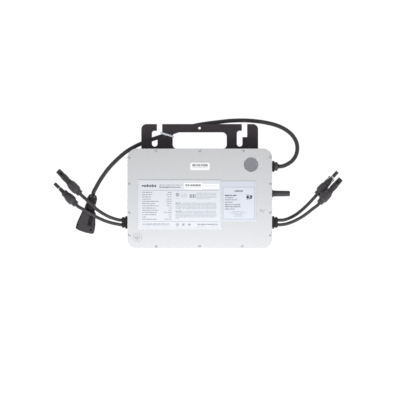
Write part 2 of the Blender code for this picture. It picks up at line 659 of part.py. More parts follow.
def make_female(name, anchor):
    """The narrow half: a probe with a seal ring and two sprung latch fingers."""
    length = FEMALE_LENGTH
    nut = ((5.9, 0.0), (6.1, 5.2), (7.6, 7.2), (8.4, 10.0), (8.4, 18.0), (7.8, 21.5), (6.9, 24.4))
    make_nut(name + "_nut", nut, 3.5, 6.0, 5.0, anchor)
    make_collet(name + "_collet", 5.6, 3.3, 5.3, CABLE_STOP, anchor)
    turned(
        name + "_body",
        ((0, 45.6), (2.1, 45.6), (2.1, length), (2.75, length), (2.95, length - 0.6), (2.95, 44.4),
         (2.45, 44.4), (2.45, 40.8), (3.1, 40.8), (3.1, 32.5), (6.2, 32.5), (6.2, 24.7), (5.7, 24.7),
         (5.7, CABLE_STOP + GAP), (0, CABLE_STOP + GAP)),
        "black_plastic", parent=anchor,
    )
    tube_contact = ((1.8, 54.4), (1.8, 45.6 + GAP), (1.1, 45.6 + GAP), (1.1, 54.4))
    turned(name + "_socket", tube_contact, "contact_metal", parent=anchor, sides=12)
    ring = ((3.2, 43.6), (3.2, 41.6), (2.75, 41.2), (2.75, 44.0))
    turned(name + "_seal", ring, "seal_rubber", parent=anchor, sides=14)
    root = 32.5 + GAP
    for side, letter in ((1, "a"), (-1, "b")):
        outline = [(4.2, 0.0), (5.7, 0.0), (5.4, 4.5), (6.2, 4.5), (6.2, 6.0), (5.0, 9.0), (4.2, 9.0)]
        hinge_x = 4.95
        points = [Vector((side * (x - hinge_x), z)) for x, z in outline]
        flat = shifted(side * hinge_x, 0, root) @ Matrix.Rotation(math.pi / 2, 4, "X")
        prism(name + "_latch_" + letter, [points], -2.4, 2.4, "black_plastic", flat, anchor)


def make_ac_plug(anchor):
    """A round gland end that widens into a flat head with a wide mouth; the head's back is the table side."""
    nut = ((5.2, 0.0), (6.4, 0.6), (8.4, 4.0), (9.2, 7.0), (9.2, 17.0))
    make_nut("ac_plug_nut", nut, 4.3, 7.3, 5.0, anchor)
    make_collet("ac_plug_collet", 6.9, 4.0, 5.3, AC_CABLE_STOP, anchor)
    low, high = -8.9, 6.1
    flat = Matrix.Rotation(math.pi / 2, 4, "X")
    flank = (
        (9.4, 20.0), (9.8, 29.6), (12.6, 31.4), (13.3, 38.0), (15.0, 46.0), (16.4, 52.0), (17.2, 58.0)
    )
    corners = [(x, z, 0) for x, z in flank] + [(17.4, 70.0, 1.2), (-17.4, 70.0, 1.2)]
    outline = rounded(corners + [(-x, z, 0) for x, z in reversed(flank)], steps=2)
    head = prism("ac_plug_body", [outline], -high, -low, "black_plastic", flat, anchor)
    bevel(head, 1.5)
    neck = turned(
        "ac_plug_neck",
        ((0, 31.0), (6.0, 31.0), (9.2, 24.0), (9.2, 17.3), (7.0, 17.3), (7.0, AC_CABLE_STOP + GAP),
         (0, AC_CABLE_STOP + GAP)),
        "black_plastic", parent=anchor,
    )
    mouth = prism("ac_plug_mouth", [rectangle(-13.5, -6.2, 13.5, 3.4, 3.0, 3)], 56.5, 72.0,
                  "black_plastic", parent=anchor)
    channel = ((2.4, 1.4, 38.9), (9.3, 8.0, 56.1))
    notches = [((-19.0, -4.0, 60.0), (-15.7, 1.5, 64.0)), ((14.9, -4.0, 50.0), (18.0, 1.5, 54.0))]
    recesses = blocks("ac_plug_recesses", [channel] + notches, "black_plastic", parent=anchor)
    hole = rods("ac_plug_release_hole", [(5.8, -61.5)], 1.5, 1.0, 8.0, 12, "black_plastic",
                Matrix.Rotation(-math.pi / 2, 4, "X"), anchor)
    fuse(head, neck)
    cut(head, mouth, recesses, hole)
    pivot = shifted(5.85, 4.4, 47.5)
    blocks("ac_plug_latch", [((-3.15, -1.4, -8.2), (3.15, 1.5, 8.2))], "black_plastic", pivot, anchor)
    insert = prism("ac_plug_contacts", [rectangle(-13.2, -5.9, 13.2, 3.1, 2.7, 3)], 56.5 + GAP, 59.0,
                   "contact_metal", parent=anchor)
    pins = [(x, -1.4) for x in (-8.0, 0.0, 8.0)]
    fuse(insert, rods("ac_pins", pins, 1.5, 58.0, 63.8, 10, "contact_metal", parent=anchor))


# ---------------------------------------------------------------- cords

def tube(name, route, diameter, points):
    """A round cord along a smooth curve through its route, read at evenly spaced places."""
    ends = [2 * route[0] - route[1]] + list(route) + [2 * route[-1] - route[-2]]
    fine = []
    for before, start, end, after in zip(ends, ends[1:], ends[2:], ends[3:]):
        for step in range(12):
            t = step / 12
            fine.append(
                0.5 * (2 * start + (end - before) * t + (2 * before - 5 * start + 4 * end - after) * t ** 2
                       + (3 * start - before - 3 * end + after) * t ** 3)
            )
    fine.append(route[-1])
    travelled = [0.0]
    for here, following in zip(fine, fine[1:]):
        travelled.append(travelled[-1] + (following - here).length)
    total = travelled[-1]
    stub = diameter / 4  # a short first and last step keeps both end faces square to the cord
    spacing = total / (points - 3)
    stations = [0.0, stub] + [spacing * step for step in range(1, points - 3)] + [total - stub, total]
    curve = bpy.data.curves.new(name, "CURVE")
    curve.dimensions = "3D"
    curve.bevel_depth = diameter / 2 * MM
    curve.bevel_resolution = 2
    curve.use_fill_caps = True
    spline = curve.splines.new("POLY")
    spline.points.add(len(stations) - 1)
    index = 0
    for point, wanted in zip(spline.points, stations):
        while index < len(fine) - 2 and travelled[index + 1] < wanted:
            index += 1
        share = (wanted - travelled[index]) / (travelled[index + 1] - travelled[index])
        point.co = (*(fine[index].lerp(fine[index + 1], share) * MM), 1.0)
    cord = bpy.data.objects.new(name, curve)
    PARTS.objects.link(cord)
    curve.materials.append(make_material("cable_jacket"))
    return cord


def plug_route(frame, stop):
    """The straight stretch behind and inside a plug, which the route ends with."""
    return [frame @ (Vector((0.0, 0.0, z)) * MM) / MM for z in (-6.0, 0.0, stop)]


def make_cords(frames):
    ac = [Vector(point) for point in AC_ROUTE] + plug_route(frames["ac_plug"], AC_CABLE_STOP)
    tube("ac_cable", ac, AC_DIAMETER, 64)
    targets = {
        "left_upper": ("left_male", -1, 1), "left_lower": ("left_female", -1, -1),
        "right_upper": ("right_female", 1, 1), "right_lower": ("right_male", 1, -1),
    }
    y, z = DC_GLAND
    for name, (plug, side, row) in targets.items():
        start = Vector((side * (WALL_PAD + 10.0 + GAP), y + row * LEAD_PITCH / 2, z))
        route = [start] + [Vector(point) for point in LEAD_ROUTES[name]]
        tube("dc_lead_" + name, route + plug_route(frames[plug], CABLE_STOP), LEAD_DIAMETER, 14)


# ---------------------------------------------------------------- the whole part

clear_scene()
PARTS = new_collection("micro_inverter")
CUTTERS = new_collection("cutters")

make_housing()
make_lid()
make_labels()
make_board()
make_components()
make_potting()
make_bracket()
make_cable_tie()
make_ac_gland()
make_dc_gland("dc_gland_left", -1)
make_dc_gland("dc_gland_right", 1)
make_antenna()

plug_frames = {name: plug_frame(spec) for name, spec in CONNECTORS.items()}
plug_frames["ac_plug"] = plug_frame(AC_PLUG)
make_ac_plug(empty("ac_plug_axis", plug_frames["ac_plug"]))
for connector in CONNECTORS:
    make = make_male if connector.endswith("_male") else make_female
    make(connector, empty(connector + "_axis", plug_frames[connector]))
make_cords(plug_frames)
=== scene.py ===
"""Looks of the micro-inverter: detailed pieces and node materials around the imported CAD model.

Lengths are in millimetres and become metres through MM. The case lies on its finned back with the
labelled lid up, the bracket towards +Y and the antenna on the +X wall.
"""

import math
import random

import bmesh
import bpy
from mathutils import Matrix, Vector
from mathutils.geometry import tessellate_polygon


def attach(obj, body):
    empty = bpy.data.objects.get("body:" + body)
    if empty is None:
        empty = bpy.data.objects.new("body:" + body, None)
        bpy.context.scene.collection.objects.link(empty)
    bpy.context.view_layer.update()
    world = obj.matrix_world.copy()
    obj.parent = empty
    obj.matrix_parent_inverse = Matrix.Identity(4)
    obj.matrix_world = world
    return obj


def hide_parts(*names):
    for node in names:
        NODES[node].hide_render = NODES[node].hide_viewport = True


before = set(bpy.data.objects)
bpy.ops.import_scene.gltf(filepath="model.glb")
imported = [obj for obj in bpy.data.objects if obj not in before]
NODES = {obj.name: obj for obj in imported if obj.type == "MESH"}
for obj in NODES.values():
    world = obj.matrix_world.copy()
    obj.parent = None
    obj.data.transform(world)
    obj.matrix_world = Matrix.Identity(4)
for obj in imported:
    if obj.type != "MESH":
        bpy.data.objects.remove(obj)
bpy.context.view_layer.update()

MM = 0.001
SHARP, BEVELLED = math.radians(34), math.radians(38)  # edges above these angles


# ---------------- outlines

def arc(before, corner, after, radius, steps):
    """The arc of this radius that rounds the corner between its two neighbours."""
    back = (Vector(before[:2]) - corner).normalized()
    ahead = (Vector(after[:2]) - corner).normalized()
    half = back.angle(ahead) / 2
    centre = corner + (back + ahead).normalized() * radius / math.sin(half)
    start = corner + back * radius / math.tan(half) - centre
    end = corner + ahead * radius / math.tan(half) - centre
    return [centre + radius * start.slerp(end, step / steps) for step in range(steps + 1)]


def rounded(corners, steps=6):
    """A closed outline from corners (x, y, radius), with an arc at each corner that has a radius."""
    points = []
    for index, (x, y, radius) in enumerate(corners):
        corner, after = Vector((x, y)), corners[(index + 1) % len(corners)]
        points += arc(corners[index - 1], corner, after, radius, steps) if radius else [corner]
    return points


def rectangle(left, low, right, high, radius=0, steps=6):
    corners = ((left, low), (right, low), (right, high), (left, high))
    return rounded([(x, y, radius) for x, y in corners], steps)


def circle(x, y, radius, sides=48):
    turn = 2 * math.pi / sides
    return [
        Vector((x + radius * math.cos(turn * step), y + radius * math.sin(turn * step)))
        for step in range(sides)
    ]


def softened(profile, steps=4):
    """An open profile of (radius, height) or (radius, height, fillet), with its fillets as arcs."""
    full = [(*point, 0) if len(point) == 2 else point for point in profile]
    points = []
    for index, (radius, height, fillet) in enumerate(full):
        corner = Vector((radius, height))
        if fillet and 0 < index < len(full) - 1:
            points += arc(full[index - 1], corner, full[index + 1], fillet, steps)
        else:
            points.append(corner)
    return points


def turned_area(loop):
    return sum(a.x * b.y - b.x * a.y for a, b in zip(loop, loop[1:] + loop[:1])) / 2


def inset(loop, distance):
    """The loop moved to its own left by distance, which is into the material for every loop of a plate."""
    moved = []
    for before, here, after in zip(loop[-1:] + loop[:-1], loop, loop[1:] + loop[:1]):
        first, second = (here - before).normalized(), (after - here).normalized()
        normal = Vector((-first.y - second.y, first.x + second.x))
        if normal.length < 1e-6:
            normal = Vector((-first.y, first.x))
        normal.normalize()
        share = max(0.35, normal.dot(Vector((-first.y, first.x))))
        moved.append(here + normal * distance / share)
    return moved


# ---------------- meshes

def finish_mesh(mesh):
    """Welds the mesh, turns its faces outwards and smooths it up to its sharp edges."""
    build = bmesh.new()
    build.from_mesh(mesh)
    bmesh.ops.remove_doubles(build, verts=build.verts, dist=1e-7)
    bmesh.ops.recalc_face_normals(build, faces=build.faces)
    build.to_mesh(mesh)
    build.free()
    mesh.shade_smooth()
    mesh.set_sharp_from_angle(angle=SHARP)
    return mesh


def raw_mesh(name, points, faces):
    mesh = bpy.data.meshes.new(name)
    mesh.from_pydata([tuple(Vector(point) * MM) for point in points], [], faces)
    return mesh


def plate_mesh(name, loops, low, high, edge=0.3, rounds=3, edge_low=None):
    """A plate with an outer loop and holes, whose edges are rounded by edge at the top and edge_low below."""
    edge_low = edge if edge_low is None else edge_low
    loops = [
        list(loop) if (turned_area(loop) > 0) == (index == 0) else list(reversed(loop))
        for index, loop in enumerate(loops)
    ]
    stations = []
    for step in range(rounds + 1):
        angle = math.pi / 2 * step / rounds
        stations.append((edge_low * (1 - math.sin(angle)), low + edge_low * (1 - math.cos(angle))))
    for step in range(rounds + 1):
        angle = math.pi / 2 * step / rounds
        stations.append((edge * (1 - math.cos(angle)), high - edge * (1 - math.sin(angle))))
    points, faces, rings = [], [], []
    for loop in loops:
        starts = []
        for distance, height in stations:
            starts.append(len(points))
            points += [(*point, height) for point in inset(loop, distance)]
        count = len(loop)
        for below, above in zip(starts, starts[1:]):
            for index in range(count):
                after = (index + 1) % count
                faces.append((below + index, below + after, above + after, above + index))
        rings.append((starts[0], starts[-1], count))
    for place in (0, 1):
        indices = [ring[place] + index for ring in rings for index in range(ring[2])]
        if len(rings) == 1:
            faces.append(tuple(indices))
            continue
        flat = [
            [Vector(points[ring[place] + index]).to_2d().to_3d() for index in range(ring[2])]
            for ring in rings
        ]
        faces += [tuple(indices[corner] for corner in triangle) for triangle in tessellate_polygon(flat)]
    return finish_mesh(raw_mesh(name, points, faces))


def lathe_mesh(name, profile, sides=64, shape=None):
    """A profile of (radius, height[, fillet]) turned about Z; shape(angle, radius, height) may reshape it.

    A profile that starts and ends on the axis is a solid. Any other is closed end to end into a ring.
    """
    line = softened(profile)
    closed = line[0].x > 1e-9
    points, faces, rows = [], [], []
    for radius, height in line:
        if radius < 1e-9:
            rows.append([len(points)] * sides)
            points.append((0, 0, height))
            continue
        rows.append(list(range(len(points), len(points) + sides)))
        for side in range(sides):
            angle = 2 * math.pi * side / sides
            wide = shape(angle, radius, height) if shape else radius
            points.append((wide * math.cos(angle), wide * math.sin(angle), height))
    pairs = list(zip(rows, rows[1:])) + ([(rows[-1], rows[0])] if closed else [])
    for lower, upper in pairs:
        for side in range(sides):
            after = (side + 1) % sides
            face = tuple(dict.fromkeys((lower[side], lower[after], upper[after], upper[side])))
            if len(face) > 2:
                faces.append(face)
    return finish_mesh(raw_mesh(name, points, faces))


def block_mesh(name, boxes):
    """Plain boxes ((x, y, z), (x, y, z)) as one mesh: print, and cutters."""
    points, faces = [], []
    for (x0, y0, z0), (x1, y1, z1) in boxes:
        first = len(points)
        points += [(x, y, z) for z in (z0, z1) for x, y in ((x0, y0), (x1, y0), (x1, y1), (x0, y1))]
        faces += [
            tuple(first + corner for corner in face)
            for face in ((3, 2, 1, 0), (4, 5, 6, 7), (0, 1, 5, 4), (1, 2, 6, 5), (2, 3, 7, 6), (3, 0, 4, 7))
        ]
    return raw_mesh(name, points, faces)


def carved(mesh, cutters, operation="DIFFERENCE"):
    """The mesh after an exact Boolean with each cutter mesh, which is then removed."""
    scene = bpy.context.scene.collection
    base = bpy.data.objects.new("carving", mesh)
    scene.objects.link(base)
    tools = []
    for cutter in cutters:
        tool = bpy.data.objects.new("cutter", cutter)
        scene.objects.link(tool)
        tools.append(tool)
        modifier = base.modifiers.new("cut", "BOOLEAN")
        modifier.operation = operation
        modifier.solver = "EXACT"
        modifier.object = tool
    result = bpy.data.meshes.new_from_object(base.evaluated_get(bpy.context.evaluated_depsgraph_get()))
    result.name = mesh.name
    for item in [base] + tools:
        bpy.data.objects.remove(item, do_unlink=True)
    return result


def merged(mesh, additions):
    return finish_mesh(carved(mesh, additions, "UNION"))


def shifted(x, y, z):
    return Matrix.Translation(Vector((x, y, z)) * MM)


FLAT = Matrix.Rotation(math.pi / 2, 4, "X")  # an outline's Y becomes Z and its Z becomes -Y


def paint(mesh, look):
    mesh.materials.clear()
    mesh.materials.append(look.material)


def show(name, mesh, look, body="root", place=None, bevel=0, segments=2, weighted=True,
         stands_for=None):
    """A visible piece on a body, in the frame place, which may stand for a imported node.

    bevel rounds its sharp edges, in millimetres.
    """
    piece = bpy.data.objects.new(name, mesh)
    bpy.context.scene.collection.objects.link(piece)
    paint(mesh, look)
    if place is not None:
        mesh.transform(place)
    if bevel > 0:
        edges = piece.modifiers.new("edges", "BEVEL")
        edges.width = bevel * MM
        edges.segments = segments
        edges.limit_method = "ANGLE"
        edges.angle_limit = BEVELLED
        edges.harden_normals = False
        mesh.shade_smooth()
    if weighted:
        piece.modifiers.new("normals", "WEIGHTED_NORMAL").keep_sharp = True
    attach(piece, body)
    if stands_for is not None:
        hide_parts(stands_for)
    return piece


def turned(name, profile, sides, look, body="root", place=None, shape=None, stands_for=None):
    """A visible piece that is one turned profile."""
    show(name, lathe_mesh(name, profile, sides, shape), look, body, place, stands_for=stands_for)


# ---------------- materials

class Surface:
    """A Principled material with helpers that add noise to its colour, roughness and normal."""

    def __init__(self, name, colour, roughness, metallic=0):
        self.material = bpy.data.materials.new(name)
        self.material.use_nodes = True
        self.tree = self.material.node_tree
        self.shader = self.tree.nodes["Principled BSDF"]
        self.colour = (*colour, 1)
        self.set("Base Color", self.colour)
        self.set("Roughness", roughness)
        self.set("Metallic", metallic)
        self.place = self.node("ShaderNodeTexCoord").outputs["Object"]

    def node(self, kind, **settings):
        made = self.tree.nodes.new(kind)
        for key, value in settings.items():
            setattr(made, key, value)
        return made

    def link(self, source, target):
        self.tree.links.new(source, target)

    def set(self, socket, value):
        self.shader.inputs[socket].default_value = value
        return self

    def noise(self, size, detail=4, roughness=0.55, stretch=(1, 1, 1)):
        """Noise whose features are about size millimetres."""
        texture = self.node("ShaderNodeTexNoise")
        texture.inputs["Scale"].default_value = 1 / (size * MM)
        texture.inputs["Detail"].default_value = detail
        texture.inputs["Roughness"].default_value = roughness
        mapping = self.node("ShaderNodeMapping")
        mapping.inputs["Scale"].default_value = stretch
        self.link(self.place, mapping.inputs["Vector"])
        self.link(mapping.outputs["Vector"], texture.inputs["Vector"])
        return texture.outputs["Fac"]

    def ranged(self, value, low, high, start=0.3, end=0.7):
        mapping = self.node("ShaderNodeMapRange")
        for socket, number in zip(("From Min", "From Max", "To Min", "To Max"), (start, end, low, high)):
            mapping.inputs[socket].default_value = number
        self.link(value, mapping.inputs["Value"])
        return mapping.outputs["Result"]

    def mottle(self, size, amount, other=None, detail=4, stretch=(1, 1, 1)):
        """Blends the colour so far with a darker one, or with other, by noise."""
        colour = self.shader.inputs["Base Color"]
        second = other or tuple(channel * (1 - amount) for channel in self.colour[:3])
        mix = self.node("ShaderNodeMix", data_type="RGBA")
        if colour.is_linked:
            self.link(colour.links[0].from_socket, mix.inputs["A"])
        else:
            mix.inputs["A"].default_value = self.colour
        mix.inputs["B"].default_value = (*second, 1)
        share = self.ranged(self.noise(size, detail, stretch=stretch), 0, 1 if other is None else amount)
        self.link(share, mix.inputs["Factor"])
        self.link(mix.outputs["Result"], colour)
        return self

    def uneven(self, size, low, high, stretch=(1, 1, 1)):
        """Roughness that wanders between low and high."""
        self.link(self.ranged(self.noise(size, 3, stretch=stretch), low, high),
                  self.shader.inputs["Roughness"])
        return self

    def grain(self, size, depth, detail=3, stretch=(1, 1, 1)):
        """Bump of about size and depth millimetres."""
        bump = self.node("ShaderNodeBump")
        bump.inputs["Strength"].default_value = 1
        bump.inputs["Distance"].default_value = depth * MM
        self.link(self.noise(size, detail, stretch=stretch), bump.inputs["Height"])
        normal = self.shader.inputs["Normal"]
        if normal.is_linked:
            self.link(normal.links[0].from_socket, bump.inputs["Normal"])
        self.link(bump.outputs["Normal"], normal)
        return self


def plastic(name, colour, roughness, size=0.6, depth=0.03):
    return (
        Surface(name, colour, roughness)
        .mottle(9, 0.16)
        .uneven(5, roughness - 0.06, roughness + 0.07)
        .grain(size, depth)
    )


LID = Surface("lid_metal", (0.588, 0.598, 0.614), 0.46, 0.15).mottle(26, 0.02).mottle(0.9, 0.06)
LID.uneven(14, 0.42, 0.52).grain(0.55, 0.035)
CAST = Surface("cast_metal", (0.33, 0.34, 0.355), 0.5, 0.3).mottle(8, 0.10).mottle(1.2, 0.06)
CAST.uneven(6, 0.42, 0.58).grain(1.1, 0.06).grain(0.35, 0.02)
SCREW = Surface("screw_steel", (0.56, 0.56, 0.58), 0.45, 0.3).mottle(1.5, 0.1).grain(0.2, 0.01)
STEEL = Surface("zinc_steel", (0.52, 0.52, 0.53), 0.32, 1).mottle(2, 0.12).uneven(1.5, 0.25, 0.42)
POTTING = Surface("cast_resin", (0.222, 0.23, 0.25), 0.42).mottle(7, 0.16).mottle(0.8, 0.08)
POTTING.uneven(3, 0.36, 0.5).grain(3, 0.05)
POWDER = Surface("powder_coat", (0.041, 0.034, 0.041), 0.5).mottle(14, 0.2).uneven(10, 0.46, 0.58)
POWDER.set("Specular IOR Level", 0.4).grain(0.7, 0.035, 2)
BLACK = plastic("moulded_black", (0.044, 0.039, 0.046), 0.42)
NUT = plastic("nut_black", (0.052, 0.047, 0.055), 0.3, 0.5, 0.02).set("Specular IOR Level", 0.6)
DARK = plastic("moulded_dark", (0.021, 0.0175, 0.022), 0.45).set("Specular IOR Level", 0.4)
# SHADE is painted shade: a near-black with little gloss. It stands for the shade in the mains plug's notches,
# release hole and latch channel, and it also darkens the plug's neck and shoulder.
SHADE = plastic("shaded_black", (0.021, 0.017, 0.021), 0.6).set("Specular IOR Level", 0.2)
STUB = plastic("antenna_black", (0.050, 0.046, 0.052), 0.38)
JACKET = Surface("cable_jacket", (0.048, 0.043, 0.047), 0.5).mottle(12, 0.2).uneven(8, 0.44, 0.56)
JACKET.grain(0.5, 0.02)
SEAL = Surface("silicone_grey", (0.42, 0.43, 0.45), 0.5).mottle(2, 0.1).grain(0.4, 0.01)
RUBBER = Surface("black_rubber", (0.016, 0.0145, 0.017), 0.62).mottle(3, 0.2).grain(0.4, 0.02)
NYLON = Surface("tie_nylon", (0.70, 0.74, 0.84), 0.38).mottle(3, 0.08).uneven(2, 0.32, 0.44)
NYLON.set("Subsurface Weight", 0.15).set("Subsurface Radius", (0.002, 0.002, 0.002)).grain(0.4, 0.01)
FILM = Surface("label_film", (0.60, 0.617, 0.658), 0.4).mottle(30, 0.015).grain(0.8, 0.006)
DATA_FILM = Surface("data_film", (0.545, 0.58, 0.65), 0.4).mottle(30, 0.015).grain(0.8, 0.006)
DATA_PANEL = Surface("data_panel", (0.565, 0.595, 0.66), 0.4).mottle(30, 0.015).grain(0.8, 0.006)
PAPER = Surface("sticker_white", (0.80, 0.80, 0.81), 0.5).mottle(5, 0.02).grain(0.5, 0.005)
INK = Surface("ink_dark", (0.035, 0.035, 0.045), 0.5).mottle(2, 0.15)
INK_GREY = Surface("ink_grey", (0.17, 0.175, 0.20), 0.5).mottle(2, 0.1)
INK_PALE = Surface("ink_pale", (0.36, 0.38, 0.44), 0.5).mottle(2, 0.06)
RULE = Surface("ink_rule", (0.40, 0.41, 0.44), 0.5).mottle(2, 0.06)
ETCH = Surface("etched_grey", (0.17, 0.17, 0.18), 0.55, 0.1).mottle(1, 0.1)
LENS = Surface("light_pipe", (0.44, 0.45, 0.48), 0.4).mottle(2, 0.06).grain(0.5, 0.01)
TINNED = Surface("tinned_copper", (0.72, 0.70, 0.66), 0.28, 1).mottle(1, 0.1).uneven(1, 0.22, 0.36)
BOARD = Surface("solder_mask", (0.02, 0.15, 0.07), 0.38).mottle(3, 0.25).grain(1, 0.02)
FERRITE = Surface("ferrite", (0.055, 0.055, 0.06), 0.6).mottle(2, 0.25).grain(0.5, 0.04)
COPPER = Surface("copper_wire", (0.62, 0.27, 0.12), 0.3, 0.9).mottle(1.5, 0.2).grain(0.9, 0.1, 1, (1, 1, 6))
SLEEVE = Surface("capacitor_sleeve", (0.04, 0.06, 0.17), 0.35).mottle(4, 0.12).grain(2, 0.02)
RELAY = plastic("relay_black", (0.03, 0.03, 0.03), 0.5)
SHIELD = Surface("shield_can", (0.62, 0.62, 0.60), 0.35, 1).mottle(4, 0.1).uneven(3, 0.28, 0.42)

CAD_LOOKS = {
    "circuit_board": BOARD, "left_transformer_core": FERRITE, "right_transformer_core": FERRITE,
    "left_transformer_winding": COPPER, "right_transformer_winding": COPPER,
    "left_input_capacitor": SLEEVE, "right_input_capacitor": SLEEVE, "grid_relay": RELAY,
    "radio_module": SHIELD, "lid_gasket": RUBBER, "potting_compound": POTTING,
}


# ---------------- camera, floor and lights

CAMERA_AT, FOCAL_LENGTH, SENSOR = (0.0004, -0.0028, 17.082), 850, 36
WHITE = (1, 1, 1, 1)


def make_stage():
    scene = bpy.context.scene
    data = bpy.data.cameras.new("camera")
    data.lens, data.sensor_width = FOCAL_LENGTH, SENSOR
    camera = bpy.data.objects.new("camera", data)
    camera.location = CAMERA_AT
    scene.collection.objects.link(camera)
    scene.camera = camera
    scene.view_settings.view_transform = "Standard"
    scene.view_settings.look = "None"

    world = bpy.data.worlds.new("studio")
    world.use_nodes = True
    background = world.node_tree.nodes["Background"].inputs
    background["Color"].default_value = WHITE
    background["Strength"].default_value = 0.37
    scene.world = world

    bpy.ops.mesh.primitive_plane_add(size=12, location=(0, 0, -0.0004))
    floor = bpy.context.object
    floor.name = "floor"
    paper = bpy.data.materials.new("floor_paper")
    paper.use_nodes = True
    shader = paper.node_tree.nodes["Principled BSDF"]
    shader.inputs["Base Color"].default_value = (0.1, 0.1, 0.1, 1)
    shader.inputs["Roughness"].default_value = 0.9
    shader.inputs["Emission Color"].default_value = WHITE
    shader.inputs["Emission Strength"].default_value = 0.98
    floor.data.materials.append(paper)

    lights = (
        ("key", (0, -0.45, 0.37), (0, -0.08, 0), (1.15, 0.36), 8.1),
        ("fill", (0.75, 0.9, 1.6), (0, 0, 0), (1.6, 1.6), 2.4),
        ("top", (0, 0.1, 2.4), (0, 0, 0), (1.5, 1.5), 2),
    )
    for name, place, aim, size, power in lights:
        light = bpy.data.lights.new(name, "AREA")
        light.shape = "RECTANGLE"
        light.size, light.size_y = size
        light.energy = power
        lamp = bpy.data.objects.new(name, light)
        lamp.location = place
        lamp.rotation_euler = (Vector(aim) - Vector(place)).to_track_quat("-Z", "Y").to_euler()
        # The low key would burn out the lid as seen from behind.
        lamp.visible_glossy = name != "key"
        scene.collection.objects.link(lamp)


# ---------------- frames of the plugs

def plug_frame(spec):
    """The frame of a plug: origin at its cable end, Z towards its tip, Y up before the roll."""
    rear, plan, tilt, roll = spec
    flat = Vector((plan[0], plan[1], 0)).normalized()
    tilt = math.radians(tilt)
    forward = flat * math.cos(tilt) + Vector((0, 0, math.sin(tilt)))
    side = Vector((0, 0, 1)).cross(forward).normalized()
    up = forward.cross(side)
    turn = Matrix((side, up, forward)).transposed().to_4x4()
    return shifted(*rear) @ turn @ Matrix.Rotation(math.radians(roll), 4, "Z")


def along_x(side, y, z):
    """A frame whose Z points out of a side wall, and whose Y is the world's Z."""
    turn = Matrix(((0, 0, side), (side, 0, 0), (0, 1, 0))).to_4x4()
    return shifted(side * CASE_HALF_X, y, z) @ turn


CASE_HALF_X, CASE_HALF_Y, CASE_CORNER = 130.5, 90, 16
DC_AXIS_Z = 8.5
FRAMES = {
    name: plug_frame(spec)
    for name, spec in {
        "left_male": ((-216, 8.4, 16.6), (-40.3, 41.8), -11, 0),
        "left_female": ((-223.4, -10.9, 15.8), (-39.1, 37.9), -13, 90),
        "right_female": ((211.6, 6.8, DC_AXIS_Z), (36.2, 40.2), 0, 0),
        "right_male": ((216.2, -8.3, 23.6), (38.2, 42.8), -12, 0),
        "ac_plug": ((-192.8, 6.8, 9.3), (-15.9, -68.1), 0, 0),
    }.items()
}

# ---------------- cords

AC_DIAMETER, LEAD_DIAMETER = 7.4, 6
AC_ROUTE = (
    (141.8, 57.9, 17), (146, 57.9, 16.9), (151.2, 58.8, 16.2), (158.4, 62, 14.2), (167.2, 68.3, 11.2),
    (173.8, 78, 8), (176.4, 90, 5.4), (174.6, 102, 4.2), (168.6, 112.6, 3.9),
    (160.4, 120.7, 3.8), (149.2, 127.8, 3.8), (136.2, 133, 3.8), (121, 136.8, 3.8),
    (104, 139.5, 3.8), (87, 140.9, 3.8), (70, 141.1, 3.9), (52, 140.2, 4.4),
    (34, 138.2, 5.3), (16, 136, 6.6), (-2, 133.2, 7.9), (-20, 129, 9.1),
    (-39, 122.8, 9.8), (-58.5, 116, 9.9), (-76, 110.2, 9.2), (-92, 104.8, 7.8),
    (-107, 98.8, 6.2), (-122, 91.4, 4.9), (-134.6, 83.2, 4), (-143.8, 75.6, 3.8),
    (-151.6, 68.4, 3.8), (-158.8, 61.2, 3.8), (-165.1, 54, 3.9), (-170.8, 46.8, 4.1),
    (-175.8, 39.6, 4.5), (-180.5, 32.4, 5.2), (-184.7, 25.2, 6.4), (-188.4, 18.2, 7.9),
)
LEAD_ROUTES = {
    "left_upper": (
        (-144.6, -39, 18), (-148.6, -38.2, 18.4), (-154, -36.7, 18.9), (-162, -33.9, 20), (-170.2, -30, 21),
        (-178.4, -25, 21.8), (-186.5, -19.3, 22.2), (-195.4, -11, 22.1), (-204, -2.8, 20.8),
    ),
    "left_lower": (
        (-144.6, -47.4, 18), (-148.6, -46.5, 18.1), (-154, -45.4, 18.4), (-162, -43.5, 18.8),
        (-170.2, -40.9, 19.2), (-178.4, -37.5, 19.6), (-186.5, -33.6, 19.8), (-194.5, -29.1, 19.9),
        (-203.5, -23.8, 19.6), (-211.4, -19.2, 18.6),
    ),
    "right_upper": (
        (144.6, -39.2, 18), (151.1, -38.9, 16.9), (158.6, -36.8, 14.6), (167.3, -32.9, 11), (175.5, -28, 7.2),
        (183.6, -21.8, 4.4), (191.7, -14.5, 3.4), (199.8, -6.4, 4.6),
    ),
    "right_lower": (
        (144.6, -47.6, 18), (153.8, -46.6, 18.2), (162, -44.3, 18.7), (172.7, -39.9, 19.8),
        (183.6, -33.9, 21.4), (194.4, -26.5, 23.2), (203.6, -19.1, 24.5),
    ),
}
LEAD_PLUGS = {
    "left_upper": ("left_male", -1, 1), "left_lower": ("left_female", -1, -1),
    "right_upper": ("right_female", 1, 1), "right_lower": ("right_male", 1, -1),
}
DC_GLAND_Y, DC_GLAND_Z, LEAD_PITCH = -43.3, 18, 8.4
GLAND_DEPTH = 10.3  # from the wall to where a lead leaves its gland
CABLE_STOP, AC_CABLE_STOP = 11.7, 8.7


